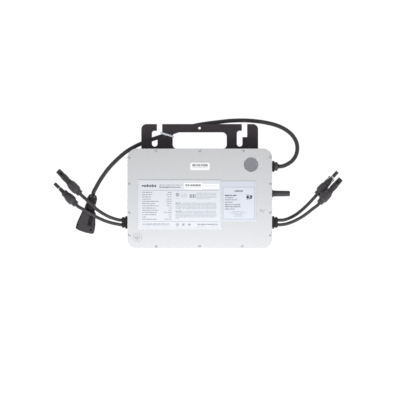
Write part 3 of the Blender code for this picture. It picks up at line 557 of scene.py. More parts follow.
def smooth_route(route, spacing=1.6):
    """Evenly spaced points on the smooth curve through the route, and its length."""
    ends = [2 * route[0] - route[1]] + list(route) + [2 * route[-1] - route[-2]]
    fine = []
    for before, start, end, after in zip(ends, ends[1:], ends[2:], ends[3:]):
        for step in range(16):
            t = step / 16
            fine.append(
                0.5 * (2 * start + (end - before) * t + (2 * before - 5 * start + 4 * end - after) * t ** 2
                       + (3 * start - before - 3 * end + after) * t ** 3)
            )
    fine.append(route[-1])
    travelled = [0]
    for here, following in zip(fine, fine[1:]):
        travelled.append(travelled[-1] + (following - here).length)
    total = travelled[-1]
    count = round(total / spacing)
    points, index = [], 0
    for step in range(count + 1):
        wanted = total * step / count
        while index < len(fine) - 2 and travelled[index + 1] < wanted:
            index += 1
        share = (wanted - travelled[index]) / (travelled[index + 1] - travelled[index])
        points.append(fine[index].lerp(fine[index + 1], min(1, share)))
    return points, total


def make_cord(name, route, diameter, node):
    points, total = smooth_route(route)
    curve = bpy.data.curves.new(name, "CURVE")
    curve.dimensions = "3D"
    curve.bevel_depth = diameter / 2 * MM
    curve.bevel_resolution = 6
    curve.use_fill_caps = True
    spline = curve.splines.new("POLY")
    spline.points.add(len(points) - 1)
    for control, point in zip(spline.points, points):
        control.co = (*(point * MM), 1)
    spline.use_smooth = True
    cord = bpy.data.objects.new(name, curve)
    bpy.context.scene.collection.objects.link(cord)
    curve.materials.append(JACKET.material)
    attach(cord, "root")
    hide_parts(node)
    return cord, total


def plug_tail(plug, stop):
    """The end of a cord's route: behind its plug, at the plug's rear, and at its stop inside."""
    return [FRAMES[plug] @ (Vector((0, 0, z)) * MM) / MM for z in (-6, 0, stop)]


def make_cords():
    """The mains cable and the four panel leads."""
    route = [Vector(point) for point in AC_ROUTE] + plug_tail("ac_plug", AC_CABLE_STOP)
    made = {"ac": (*make_cord("mains_cable", route, AC_DIAMETER, "ac_cable"), route[0])}
    for name, (plug, side, row) in LEAD_PLUGS.items():
        start = Vector((side * (CASE_HALF_X + GLAND_DEPTH), DC_GLAND_Y + row * LEAD_PITCH / 2, DC_GLAND_Z))
        route = [start] + [Vector(point) for point in LEAD_ROUTES[name]] + plug_tail(plug, CABLE_STOP)
        made[name] = (*make_cord(name + "_lead", route, LEAD_DIAMETER, "dc_lead_" + name), start)
    return made


# ---------------- case, lid and what shows in it

RIM_UNDER, LID_LOW, LID_TOP = 25.5, 32.8, 34.6
WALL_INSET, GAP = 4, 0.3
LID_SCREWS = (
    [(side * 127.3, y) for side in (-1, 1) for y in (74.5, 27, -25, -66)]
    + [(x, 86.4) for x in (-79, 0, 79)]
    + [(x, -85.8) for x in (-79, 0, 77)]
)
FILL_PORT, FILL_PORT_RADIUS = (92.6, 61.3), 12.9
LIGHT, LIGHT_RADIUS = (112.3, -22.1), 3


def case_outline(distance, steps=10):
    half_x, half_y = CASE_HALF_X - distance, CASE_HALF_Y - distance
    return rectangle(-half_x, -half_y, half_x, half_y, CASE_CORNER - distance, steps)


def make_case():
    """The casting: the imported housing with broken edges, and a boss under each side and lower lid screw."""
    build = bmesh.new()
    build.from_mesh(NODES["housing"].data)
    bmesh.ops.remove_doubles(build, verts=build.verts, dist=2e-6)
    bmesh.ops.dissolve_limit(build, angle_limit=math.radians(0.6), verts=build.verts, edges=build.edges)
    mesh = bpy.data.meshes.new("case")
    build.to_mesh(mesh)
    build.free()
    show("case", mesh, CAST, bevel=0.45, segments=2, stands_for="housing")
    boss = ((0, 9), (1.6, 9.3, 0.8), (2.7, 12.5, 3), (3, 25.6), (0, 25.6))
    for number, (x, y) in enumerate(LID_SCREWS, 1):
        if y > 80:
            continue
        mesh = lathe_mesh(f"screw_boss_{number}", boss, 28)
        show(f"screw_boss_{number}", mesh, CAST, place=shifted(x, y, 0))


def hexalobe(radius, depth=0.17, sides=48):
    """The outline of a six-lobed screw recess."""
    return [
        Vector((math.cos(angle), math.sin(angle))) * radius * (1 + depth * math.cos(6 * angle))
        for angle in (2 * math.pi * side / sides for side in range(sides))
    ]


def screw_mesh(name, head, lobe, low, high):
    """A screw along Z: its profile, and a six-lobed recess from low up to its face at high."""
    recess = plate_mesh("recess", [hexalobe(lobe)], low, high + 0.5, 0.02, 1)
    return carved(lathe_mesh(name, head, 40), [recess])


def make_lid():
    holes = [circle(x, y, 2.35, 32) for x, y in LID_SCREWS]
    holes += [circle(*FILL_PORT, FILL_PORT_RADIUS, 96), circle(*LIGHT, LIGHT_RADIUS - 0.1, 48)]
    mesh = plate_mesh("lid_plate", [case_outline(0)] + holes, LID_LOW, LID_TOP, 0.35, 3, 0.1)
    show("lid_plate", mesh, LID, stands_for="lid")
    head = ((0, 34.5), (2.1, 34.5, 0.25), (2.25, 34.1, 0.1), (1.35, 33.1), (1.35, 27, 0.3), (0, 26.6))
    screw = screw_mesh("lid_screw", head, 0.75, 34, 34.5)
    for number, (x, y) in enumerate(LID_SCREWS, 1):
        turn = Matrix.Rotation(0.9 * number, 4, "Z")
        show(f"lid_screw_{number}", screw.copy(), SCREW, place=shifted(x, y, 0) @ turn)
    bpy.data.meshes.remove(screw)

    resin = ((0, 34.06), (8, 34.04), (11.6, 34.07, 0.5), (12.82, 34.34, 0.2), (12.84, 30.6), (0, 30.6))
    turned("fill_resin", resin, 96, POTTING, place=shifted(*FILL_PORT, 0))
    lens = ((0, 34.66), (1.6, 34.64, 2), (2.8, 34.56, 0.2), (2.88, 34.4), (2.88, 30.7), (0, 30.7))
    turned("light_lens", lens, 48, LENS, place=shifted(*LIGHT, 0), stands_for="status_light")


# ---------------- labels and print

PRINT = random.Random(7)
LABEL_LOW, LABEL_TOP = LID_TOP + 0.03, 35.1
INK_THICK, PATCH_THICK, SUNK = 0.03, 0.015, 0.01
PATCH_TOP = LABEL_TOP + PATCH_THICK
TABLE_LEFT, VALUES_RIGHT, NOTES_LEFT = -104, -51.1, -43.6  # columns of the rating label
ROW_PITCH, LINE_PITCH = 4.03, 2.55


def words(left, y, right, size, weight=0.62, ascent=0.3):
    """Greeked print: a line of word-like groups of small upright blocks, size millimetres high."""
    boxes = []
    x = left
    while x < right:
        letters = PRINT.randint(2, 9)
        for _letter in range(letters):
            width = size * PRINT.uniform(0.42, 0.7)
            if x + width > right:
                return boxes
            tall = size * (1 + (ascent if PRINT.random() < 0.3 else 0))
            low = size * (-0.25 if PRINT.random() < 0.1 else 0)
            boxes.append((x, y - size / 2 + low, x + width * weight, y - size / 2 + tall))
            x += width
        x += size * 0.55
    return boxes


def ended(boxes, right):
    """The same line moved so that it ends at right."""
    move = right - max(box[2] for box in boxes)
    return [(x0 + move, y0, x1 + move, y1) for x0, y0, x1, y1 in boxes]


def centred(boxes, middle):
    move = middle - (boxes[0][0] + max(box[2] for box in boxes)) / 2
    return [(x0 + move, y0, x1 + move, y1) for x0, y0, x1, y1 in boxes]


def barcode(left, low, right, high):
    """Upright stripes of uneven width."""
    boxes = []
    x = left
    while x < right:
        width = PRINT.choice((0.28, 0.28, 0.56, 0.84))
        boxes.append((x, low, min(x + width, right), high))
        x += width + PRINT.choice((0.28, 0.28, 0.56, 0.84))
    return boxes


def print_on(name, boxes, ink, base=LABEL_TOP):
    """Flat print as a very thin layer of ink on a label or the lid."""
    solid = [((x0, y0, base - SUNK), (x1, y1, base + INK_THICK)) for x0, y0, x1, y1 in boxes]
    show(name, block_mesh(name, solid), ink, weighted=False)


def ring_on(name, outer, inner, ink, base=LABEL_TOP):
    show(name, plate_mesh(name, [outer, inner], base - SUNK, base + INK_THICK, 0.005, 1), ink,
         weighted=False)


def patch_on(name, outline, look, base=LABEL_TOP, thick=PATCH_THICK):
    show(name, plate_mesh(name, [outline], base - SUNK, base + thick, 0.004, 1), look, weighted=False)


def print_shades(prefix, dark, grey, pale, base=LABEL_TOP):
    for shade, boxes, ink in (("dark", dark, INK), ("grey", grey, INK_GREY), ("pale", pale, INK_PALE)):
        print_on(f"{prefix}_{shade}", boxes, ink, base)


def make_film(name, outline, look, node):
    show(name, plate_mesh(name, [outline], LABEL_LOW, LABEL_TOP, 0.06, 2), look, stands_for=node)


def make_rating_label():
    """The wide label: a header, a table of ratings, two columns of notes and a footer, all greeked."""
    make_film("rating_film", rectangle(-111.2, -55.1, 39.1, 33.8, 2.2, 6), FILM, "rating_label")
    border = (-108, -53.4, 36.9, 32.4)
    ring_on("rating_border", rectangle(*border, 2.6), inset(rectangle(*border, 2.6), 0.42), RULE)
    dark, grey, pale = [], [], []
    # Header
    dark += [(-104 + 2.9 * step, 20.6, -102.1 + 2.9 * step, 24.4 if step % 3 else 25.4) for step in range(1,
                                                                                                          9)]
    grey += words(-73, 24.1, -31, 1.2)
    dark += words(-73, 20.3, -34.5, 1.5, 0.8)
    patch_on("serial_patch", rectangle(-28.6, 16.3, 4.9, 27.9, 0.8), PAPER)
    patch_on("number_patch", rectangle(5.9, 17.6, 34.6, 26.2, 0.8), PAPER)
    print_on("serial_patch_bars", barcode(-25.6, 21.9, 2.3, 25.5), INK, PATCH_TOP)
    print_on("patch_digits", words(-25.4, 19.4, 2.1, 1, 0.5) + words(8, 22.3, 32.5, 1.3, 0.5), INK_PALE,
             PATCH_TOP)
    # Table of ratings
    ends = (-85.9, -84.7, -88.3, -87.9, -74, -80.8, -73.2, -78.5, -74, -77.1, -78.5, -95.5, -76.5)
    widths = (7.4, 9.8, 8.4, 9.8, 11.2, 8.4, 9.4, 3.9, 6.8, 14.7, 6.3, 4.9, 13.7)
    for row, (end, width) in enumerate(zip(ends, widths)):
        y = 10.8 - ROW_PITCH * row
        grey += words(TABLE_LEFT, y, end, 1.35, 0.72)
        grey += ended(words(VALUES_RIGHT - width, y, VALUES_RIGHT, 1.3, 0.6), VALUES_RIGHT)
    # Notes
    for y in (7.8, 5.2, 2.6):
        pale += words(-34, y, -22.6, 1.1)
    pale += words(-44, 0.2, -36.6, 0.9)
    for line in range(5):
        pale += words(-6, 9.4 - 2.5 * line, 30.6 if line < 4 else 18, 1.25, 0.7)
    grey += words(NOTES_LEFT, -8.4, -33.6, 1.4, 0.8) + words(NOTES_LEFT, -23.2, -31.5, 1.4, 0.8)
    for line in range(5):
        pale += words(NOTES_LEFT if line else -31.5, -8.4 - LINE_PITCH * line, 30.6, 1.35, 0.72)
    for line in range(6):
        right = 30.4 if line < 5 else -36
        pale += words(NOTES_LEFT if line else -29.5, -23.2 - LINE_PITCH * line, right, 1.35, 0.72)
    # Footer
    grey += words(TABLE_LEFT, -46.3, -54, 1.4, 0.8)
    pale += words(TABLE_LEFT, -49.4, -52, 1.1)
    grey += words(-4.4, -46.7, 33, 1.4, 0.8)
    pale += words(-4.4, -49.6, 12, 1.1) + words(19, -49.6, 33, 1.1)
    print_on("rating_rules", [(TABLE_LEFT, 14, 34.5, 15), (TABLE_LEFT, -42.1, 33.6, -41.2)], RULE)
    print_shades("rating_print", dark, grey, pale)
    # Generic marks in the notes and the footer
    patch_on("header_dot", circle(-103.1, 22.8, 1.5, 24), INK, LABEL_TOP, INK_THICK)
    ring_on("note_ring", circle(-40.3, 6.6, 3.1, 40), circle(-40.3, 6.6, 1.9, 40), INK_GREY)
    patch_on("note_ring_dot", circle(-40.3, 6.6, 1, 24), INK_GREY, LABEL_TOP, INK_THICK)
    print_on("note_bars", [(x, 0.9, x + 1.2, 7.6) for x in (-17.8, -14.9, -12, -9.1)], INK)
    for number, (x, sides) in enumerate(((-40.3, 32), (-29.5, 6), (-18.8, 4)), 1):
        ring_on(f"footer_mark_{number}", circle(x, -47.3, 2.9, sides), circle(x, -47.3, 2.3, sides), INK_GREY)
        patch_on(f"footer_mark_dot_{number}", circle(x, -47.3, 1.1, 16), INK_GREY, LABEL_TOP, INK_THICK)


def make_data_label():
    """The narrow label beside it: a boxed list of lines, a block of squares and a few centred lines."""
    make_film("data_film", rectangle(39.5, -40.7, 101.3, 31.3, 2, 6), DATA_FILM, "data_label")
    patch_on("data_panel", rectangle(42.2, -37.2, 98.9, 20.3, 0.4), DATA_PANEL)
    ring_on("data_border", rectangle(41.6, -37.8, 99.4, 20.9, 0.8), rectangle(42.5, -36.9, 98.5, 20, 0.3),
            INK_PALE)
    dark = [(63 + 2.2 * step, 12, 64.4 + 2.2 * step, 15 if step % 2 else 14.4) for step in range(7)]
    dark += words(45.4, 5.4, 67, 1.8, 0.85)
    grey = []
    for y, end in ((1.4, 62), (-2.5, 67.7), (-6.9, 59.5), (-11.2, 73.6), (-14.9, 74.6), (-19.2, 62.8)):
        grey += words(45.4, y, end, 1.5, 0.8)
    pale = []
    for y, half in ((-23.8, 11.3), (-26.5, 14.9), (-29.2, 6.8), (-32, 8.3)):
        pale += centred(words(69.7 - half, y, 69.7 + half, 1.2, 0.7), 69.7)
    cell = 0.75
    code = [
        (84.2 + cell * column, -2 + cell * row, 84.2 + cell * (column + 1) - 0.02,
         -2 + cell * (row + 1) - 0.02)
        for row in range(12) for column in range(14)
        if PRINT.random() < (0.95 if abs(column - 6.5) > 2.4 and 2 < row < 9 else 0.42)
    ]
    print_shades("data_print", dark, grey, pale, PATCH_TOP)
    print_on("data_code", code, INK, PATCH_TOP)


def make_serial_label():
    make_film("serial_sticker", rectangle(-17.5, 51.4, 18, 65.2, 1.8), PAPER, "serial_label")
    print_on("serial_bars", barcode(-13.4, 57.9, 14.4, 62), INK)
    print_on("serial_digits", words(-13.2, 55.9, 14.2, 1.1, 0.5), INK_PALE)


def make_lid_mark():
    """A generic round mark etched in the lid's lower left corner."""
    x, y = -112.5, -70.3
    ring_on("lid_mark_ring", circle(x, y, 8.1, 64), circle(x, y, 7.7, 64), ETCH, LID_TOP)
    bars = words(x - 5.6, y + 0.6, x + 5.6, 1.1, 0.7) + words(x - 4.8, y - 1.8, x + 4.8, 0.9, 0.7)
    bars += words(x - 2.6, y + 4, x + 2.6, 0.9, 0.7) + words(x - 2.2, y - 4.6, x + 2.2, 0.9, 0.7)
    print_on("lid_mark_bars", bars, ETCH, LID_TOP)


# ---------------- bracket and cable tie

PLATE_LOW, PLATE_TOP, LAND_TOP = 14, 16, 16.3
PLATE_LEFT, PLATE_RIGHT, PLATE_EDGE = -105.7, 105.4, 134.5
FLANGE_NEAR, FLANGE_THICK = CASE_HALF_Y - WALL_INSET + GAP, 2
SLOT_WIDTH, SLOT_SEAT_END, SLOT_SEAT_TOP, SLOT_STEP = 10, 93.8, 122.2, 111
SLOT_ENTRIES = ((-77.4, -68), (76, 85.6))
LAND_NEAR, LAND_FAR, LAND_WIDTH = 90.5, 110, 4
HAND_HOLE = (-48.9, 89.6, 48.7, 119.4)
HANG_HOLE = (-0.5, 127, 2.25)
BRACKET_SCREWS, BRACKET_SCREW_Z = (-88, -30, 30, 88), 20.8


def slot_corners(left, right):
    seat_left, seat_right = left + 1 - SLOT_WIDTH, left + 1
    end = SLOT_WIDTH / 2 - 0.1
    return [
        (right, PLATE_EDGE, 1.2), (right, SLOT_STEP, 1), (seat_right, SLOT_STEP, 1.2),
        (seat_right, SLOT_SEAT_END, end), (seat_left, SLOT_SEAT_END, end),
        (seat_left, SLOT_SEAT_TOP, 4.5), (left, SLOT_SEAT_TOP, 1.2), (left, PLATE_EDGE, 1.2),
    ]


def slot_land(left):
    seat_left, seat_right = left + 1 - SLOT_WIDTH, left + 1
    near, far = LAND_NEAR, LAND_FAR
    inner_left, inner_right, end = seat_left - 0.3, seat_right + 0.3, SLOT_SEAT_END - 0.3
    return rounded([
        (seat_left - LAND_WIDTH, far, 1), (seat_left - LAND_WIDTH, near, 5),
        (seat_right + LAND_WIDTH, near, 5), (seat_right + LAND_WIDTH, far, 1),
        (inner_right, far, 0), (inner_right, end, SLOT_WIDTH / 2),
        (inner_left, end, SLOT_WIDTH / 2), (inner_left, far, 0),
    ])


def make_bracket():
    """The bent steel plate, with its lands, and the four screws that hold it."""
    left_slot, right_slot = SLOT_ENTRIES
    near = FLANGE_NEAR + 2.4
    outline = rounded(
        [(PLATE_LEFT, near, 0), (PLATE_RIGHT, near, 0), (PLATE_RIGHT, PLATE_EDGE, 9.5)]
        + slot_corners(*right_slot) + slot_corners(*left_slot) + [(PLATE_LEFT, PLATE_EDGE, 9.5)],
        8,
    )
    x, y, radius = HANG_HOLE
    holes = [rectangle(*HAND_HOLE, 8, 10), circle(x, y, radius, 40)]
    sheet = plate_mesh("bracket_plate", [outline] + holes, PLATE_LOW, PLATE_TOP, 0.3, 3)
    bend = rounded([
        (near + 0.6, PLATE_LOW, 0), (near + 0.6, PLATE_TOP, 0), (FLANGE_NEAR + FLANGE_THICK, PLATE_TOP, 0.5),
        (FLANGE_NEAR + FLANGE_THICK, RIM_UNDER - GAP, 0.4), (FLANGE_NEAR, RIM_UNDER - GAP, 0.4),
        (FLANGE_NEAR, PLATE_LOW, 2.5),
    ], 5)
    lying = Matrix(((0, 0, 1, 0), (1, 0, 0, 0), (0, 1, 0, 0), (0, 0, 0, 1)))
    flange = plate_mesh("bracket_bend", [bend], PLATE_LEFT, PLATE_RIGHT, 0.25, 2)
    flange.transform(lying)
    lands = [
        plate_mesh("slot_land", [slot_land(left)], PLATE_TOP - 0.4, LAND_TOP, 0.12, 2) for left,
        _ in SLOT_ENTRIES
    ]
    mesh = merged(sheet, [flange] + lands)
    show("bracket_plate", mesh, POWDER, stands_for="mounting_bracket")
    face = FLANGE_NEAR + FLANGE_THICK + GAP
    head = ((0, face + 1.5), (2.6, face + 1.5, 1), (3.55, face + 0.5, 0.4), (3.6, face, 0.1), (2, face),
            (2, face - 7.5), (0, face - 7.5))
    screw = screw_mesh("bracket_bolt", head, 1.5, face + 0.2, face + 1.5)
    turn = Matrix.Rotation(-math.pi / 2, 4, "X")
    for number, x in enumerate(BRACKET_SCREWS, 1):
        show(f"bracket_bolt_{number}", screw.copy(), STEEL,
             place=shifted(x, 0, BRACKET_SCREW_Z) @ turn, stands_for=f"bracket_screw_{number}")
    bpy.data.meshes.remove(screw)


TIE_MIDDLE, TIE_DIRECTION = (-58.5, 115), (19.5, -5.9)
TIE_WIDTH, TIE_THICK = 3.2, 1.2
TIE_INSIDE = (-12.2, 5.9, 10.8, 16.3)


def make_cable_tie():
    """A nylon strap round the bracket's web and the mains cable, with its head and cut tail underneath."""
    strand = Vector((*TIE_DIRECTION, 0)).normalized()
    up = Vector((0, 0, 1))
    turn = Matrix((strand, up, strand.cross(up))).transposed().to_4x4()
    place = shifted(*TIE_MIDDLE, 0) @ turn
    left, low, right, high = TIE_INSIDE
    outside = rectangle(left - TIE_THICK, low - TIE_THICK, right + TIE_THICK, high + TIE_THICK, 2.4, 8)
    half = TIE_WIDTH / 2
    band = plate_mesh("tie_strap", [outside, rectangle(*TIE_INSIDE, 1.2, 8)], -half, half, 0.3, 3)
    head = plate_mesh("tie_head", [rectangle(left + 1, 0.8, left + 5.5, low - 0.2, 0.8)], -2.6, 2.6, 0.5, 3)
    slot = block_mesh("tie_slot", [((left + 0.5, 2, -1.7), (left + 6, 3.3, 1.7))])
    tail = plate_mesh("tie_tail", [rectangle(left + 3, 2.1, left + 8, 3.2, 0.2, 2)], -1.6, 1.6, 0.1, 1)
    mesh = merged(band, [carved(head, [slot]), tail])
    show("tie_strap", mesh, NYLON, place=place, stands_for="cable_tie")


# ---------------- glands and antenna

AC_GLAND, ANTENNA = (57.9, 17), (8.9, 16.5)


def fluted(count, depth, low, high, sharp=2, fade=1.5):
    """A lathe shape with count flutes of the given depth between the heights low and high."""
    def shape(angle, radius, height):
        inside = min((height - low) / fade, (high - height) / fade)
        share = max(0, min(1, inside))
        groove = max(0, math.cos(count * angle)) ** sharp
        return radius - depth * groove * share * share * (3 - 2 * share)
    return shape


def make_glands():
    frame_ac = along_x(1, *AC_GLAND)
    body = ((0, 4.3), (9.6, 4.3, 0.6), (10.1, 3.4, 0.6), (10.1, 1.2, 0.5), (9.4, 0.3), (6, 0.3), (6, -13),
            (0, -13))
    turned("mains_gland", body, 120, DARK, place=frame_ac,
           shape=fluted(20, 0.35, 0.9, 4, 3, 0.8), stands_for="ac_gland")
    nut = ((4.1, 4.4), (7.6, 4.4), (8.1, 4.9, 0.3), (8.1, 8.8, 0.6), (6.8, 10.2, 0.5), (5.6, 11, 0.4),
           (4.5, 11, 0.3), (4.1, 10.4))
    turned("mains_gland_nut", nut, 112, NUT, place=frame_ac,
           shape=fluted(14, 0.5, 5, 9.6, 4, 0.8), stands_for="ac_gland_nut")
    sleeve = ((3.72, 9.6), (4.05, 9.6), (4.4, 11.3, 0.3), (4.3, 12.2, 0.3), (3.72, 12.8))
    turned("mains_gland_seal", sleeve, 64, RUBBER, place=frame_ac)
    for side, word in ((-1, "left"), (1, "right")):
        make_lead_gland(word, side)


def make_lead_gland(word, side):
    """The oblong gland where a pair of panel leads leaves the case."""
    place = along_x(side, DC_GLAND_Y, DC_GLAND_Z)
    flange = plate_mesh("flange", [rectangle(-11.5, -7.5, 11.5, 7.5, 5, 8)], 0.3, 4.1, 0.7, 3, 0.3)
    neck = plate_mesh("neck", [rectangle(-9, -5.2, 9, 5.2, 4.4, 8)], 3, 6.2, 0.2, 2)
    nose = plate_mesh("nose", [rectangle(-9.9, -6, 9.9, 6, 5, 8)], 5.6, 10, 1.3, 4, 0.5)
    shank = plate_mesh("shank", [rectangle(-9, -5, 9, 5, 4, 6)], -12.5, 1, 0.2, 1)
    mesh = merged(flange, [neck, nose, shank])
    show(f"lead_gland_{word}", mesh, DARK, place=place, stands_for=f"dc_gland_{word}")
    collar = ((3.02, 9.2), (3.9, 9.2), (3.9, 10.3, 0.3), (3.4, 10.9, 0.3), (3.02, 10.9))
    for number, offset in enumerate((-LEAD_PITCH / 2, LEAD_PITCH / 2), 1):
        show(f"lead_collar_{word}_{number}", lathe_mesh("collar", collar, 48), RUBBER,
             place=place @ shifted(offset, 0, 0))


def make_antenna():
    profile = ((0, 32.6), (4, 32.6, 1.6), (5.05, 30.8, 1.2), (5.45, 5), (5.7, 4.6, 0.3), (5.7, 0.5, 0.3),
               (3, 0.3), (3, -15), (0, -15))
    place = along_x(1, *ANTENNA)
    turned("stub_antenna", profile, 96, STUB, place=place, stands_for="antenna")
    washer = ((5, 0.02), (7.4, 0.02, 0.2), (7.4, 1.1, 0.4), (5.75, 1.1, 0.2))
    turned("antenna_washer", washer, 64, RUBBER, place=place)


# ---------------- plugs

def ribbed(count, height_profile):
    """A lathe shape with raised ribs: height_profile gives the groove's depth at each height."""
    def shape(angle, radius, height):
        depth = 0
        for (z0, d0), (z1, d1) in zip(height_profile, height_profile[1:]):
            if z0 <= height <= z1:
                depth = d0 + (d1 - d0) * (height - z0) / (z1 - z0)
        wave = 0.5 - 0.5 * math.cos(count * angle)
        return radius - depth * (1 - wave) ** 1.6
    return shape


NUT_FLOOR = 5


def nut_mesh(name, outer, bore, throat, ribs, count=14):
    """A nut with ribs over its outer profile, a cable hole in its floor and a wide throat."""
    inside = ((throat, outer[-1][1]), (throat, NUT_FLOOR), (bore, NUT_FLOOR), (bore, outer[0][1]))

    def shape(angle, radius, height):
        return radius if radius <= throat + 0.01 else ribs(angle, radius, height)

    dense = []
    for start, end in zip(outer, outer[1:]):
        dense.append(start)
        steps = max(1, int(abs(end[1] - start[1]) / 1.2))
        if len(start) == 2 and len(end) == 2:
            for step in range(1, steps):
                share = step / steps
                dense.append((start[0] + (end[0] - start[0]) * share, start[1] + (end[1] - start[1]) * share))
    dense.append(outer[-1])
    return lathe_mesh(name, tuple(dense) + inside, count * 10, shape)


def make_coupling(name, outer, depths, at):
    """The ribbed coupling nut of a panel plug."""
    mesh = nut_mesh(name + "_coupling", outer, 3.4, 6, ribbed(14, depths))
    show(name + "_coupling", mesh, NUT, name + "_nut_body", at, stands_for=name + "_nut")


def make_male(name):
    """The wide half: a hollow barrel with two latch windows, a ribbed coupling nut and a contact pin."""
    at = FRAMES[name]
    outer = ((5.5, 0), (6, 0.5), (6, 4.2), (5.7, 5), (6.2, 6.2), (7.6, 8), (8.4, 11), (8.4, 20.5),
             (7.8, 24.4), (6.9, 27.2))
    make_coupling(name, outer, ((5, 0), (8, 0.55), (22, 0.55), (26.8, 0.1)), at)
    barrel = ((0, 34), (3.6, 34), (3.6, 59), (4.7, 59, 0.25), (4.95, 58.6, 0.2), (4.95, 55, 0.2),
              (4.6, 54.7, 0.1), (4.6, 54.1, 0.1), (5.2, 53.6, 0.2), (5.2, 47, 0.3), (4.9, 46.6, 0.2),
              (4.95, 39, 3), (5.1, 34, 2), (5.9, 29.5, 2), (6.35, 27.5, 0.2), (5.7, 27.5), (5.7, 12), (0, 12))
    windows = block_mesh("windows", [((-1.9, -6, 47.3), (1.9, 6, 52.5))])
    keys = block_mesh("keys", [((-5.6, -0.7, 34.5), (5.6, 0.7, 45.6)),
                               ((-0.7, -5.6, 34.5), (0.7, 5.6, 45.6))])
    hole = lathe_mesh("hole", ((0, 34), (3.6, 34), (3.6, 50), (0, 50)), 48)
    body = carved(lathe_mesh(name + "_barrel", barrel, 96), [windows])
    mesh = merged(body, [carved(keys, [hole])])
    show(name + "_barrel", mesh, BLACK, place=at, bevel=0.12, segments=1,
         stands_for=name + "_body")
    # Painted shade: a dark sleeve inside the barrel, so that the latch windows show dark instead of the lit
    # pin and the floor beyond.
    window_shade = ((3.3, 45.4), (3.5, 45.4), (3.5, 53.6), (3.3, 53.6))
    turned(name + "_window_shade", window_shade, 64, DARK, place=at)
    pin = ((0, 54.4), (0.5, 54.3, 0.2), (1.35, 52.4, 0.5), (1.4, 34.2), (0, 34.2))
    turned(name + "_contact", pin, 32, TINNED, place=at, stands_for=name + "_pin")
    make_gasket(name, at)


def make_gasket(name, at):
    """The cable seal behind the nut's throat, which slides back with it."""
    ring = ((3.1, 4.9), (5.3, 4.9, 0.4), (5.6, 5.6, 0.3), (5.6, 11.4, 0.3), (3.1, 11.4))
    turned(name + "_cable_seal", ring, 48, SEAL, name + "_collet_body", at,
           stands_for=name + "_collet")


def make_female(name):
    """The narrow half: a probe with a grey seal ring, two sprung latch fingers and a ribbed coupling nut."""
    at = FRAMES[name]
    outer = ((5.6, 0), (6.2, 0.5), (6.2, 4.2), (5.8, 5), (6.3, 6.2), (7.6, 7.8), (8.4, 10.2), (8.4, 17),
             (7.8, 21), (6.9, 24.4))
    make_coupling(name, outer, ((5, 0), (8, 0.55), (19, 0.55), (24, 0.1)), at)
    probe = ((0, 45.6), (2.1, 45.6), (2.1, 55.8), (2.9, 55.8, 0.2), (3.15, 55, 0.3), (3.15, 44.5, 0.2),
             (2.45, 44.4), (2.45, 40.8), (3.4, 40.8, 0.2), (3.8, 36, 2), (3.8, 33.4, 0.6), (5.2, 32.5, 0.4),
             (6.2, 31.6, 0.5), (6.2, 24.8, 0.2), (5.7, 24.7), (5.7, 12), (0, 12))
    turned(name + "_probe", probe, 96, BLACK, place=at, stands_for=name + "_body")
    tube = ((1.1, 45.9), (1.8, 45.9), (1.8, 54.3, 0.2), (1.1, 54.3, 0.2))
    turned(name + "_contact", tube, 32, TINNED, place=at, stands_for=name + "_socket")
    ring = ((2.5, 41), (3.05, 41, 0.2), (3.25, 41.6, 0.25), (3, 42.3, 0.2), (3.25, 43, 0.25),
            (3.25, 43.6, 0.25), (3, 44.2, 0.2), (2.5, 44.2))
    turned(name + "_ring", ring, 64, SEAL, place=at, stands_for=name + "_seal")
    for side, letter in ((1, "a"), (-1, "b")):
        outline = rounded([
            (side * 4.2, 32.8, 0), (side * 5.7, 32.8, 0), (side * 5.35, 37.3, 0.5), (side * 6.2, 37.3, 0.25),
            (side * 6.2, 38.6, 0.6), (side * 5, 41.8, 0.4), (side * 4.2, 41.8, 0.4),
        ], 4)
        finger = f"{name}_finger_{letter}"
        show(finger, plate_mesh(finger, [outline], -2.4, 2.4, 0.35, 3), BLACK,
             f"{name}_latch_{letter}", at @ FLAT, stands_for=f"{name}_latch_{letter}")
    make_gasket(name, at)


HEAD_FACE, HEAD_BACK = -6.1, 8.9  # the faces of the mains plug's head, before FLAT lays it down
LEAN_BACK = Matrix.Rotation(-math.pi / 2, 4, "X")  # a piece's Z becomes +Y


def head_plate(name, corners, low, high, edge=0.3, rounds=3, edge_low=None, steps=4):
    """A plate in the plane of the mains plug's head."""
    mesh = plate_mesh(name, [rounded(corners, steps)], low, high, edge, rounds, edge_low)
    mesh.transform(FLAT)
    return mesh


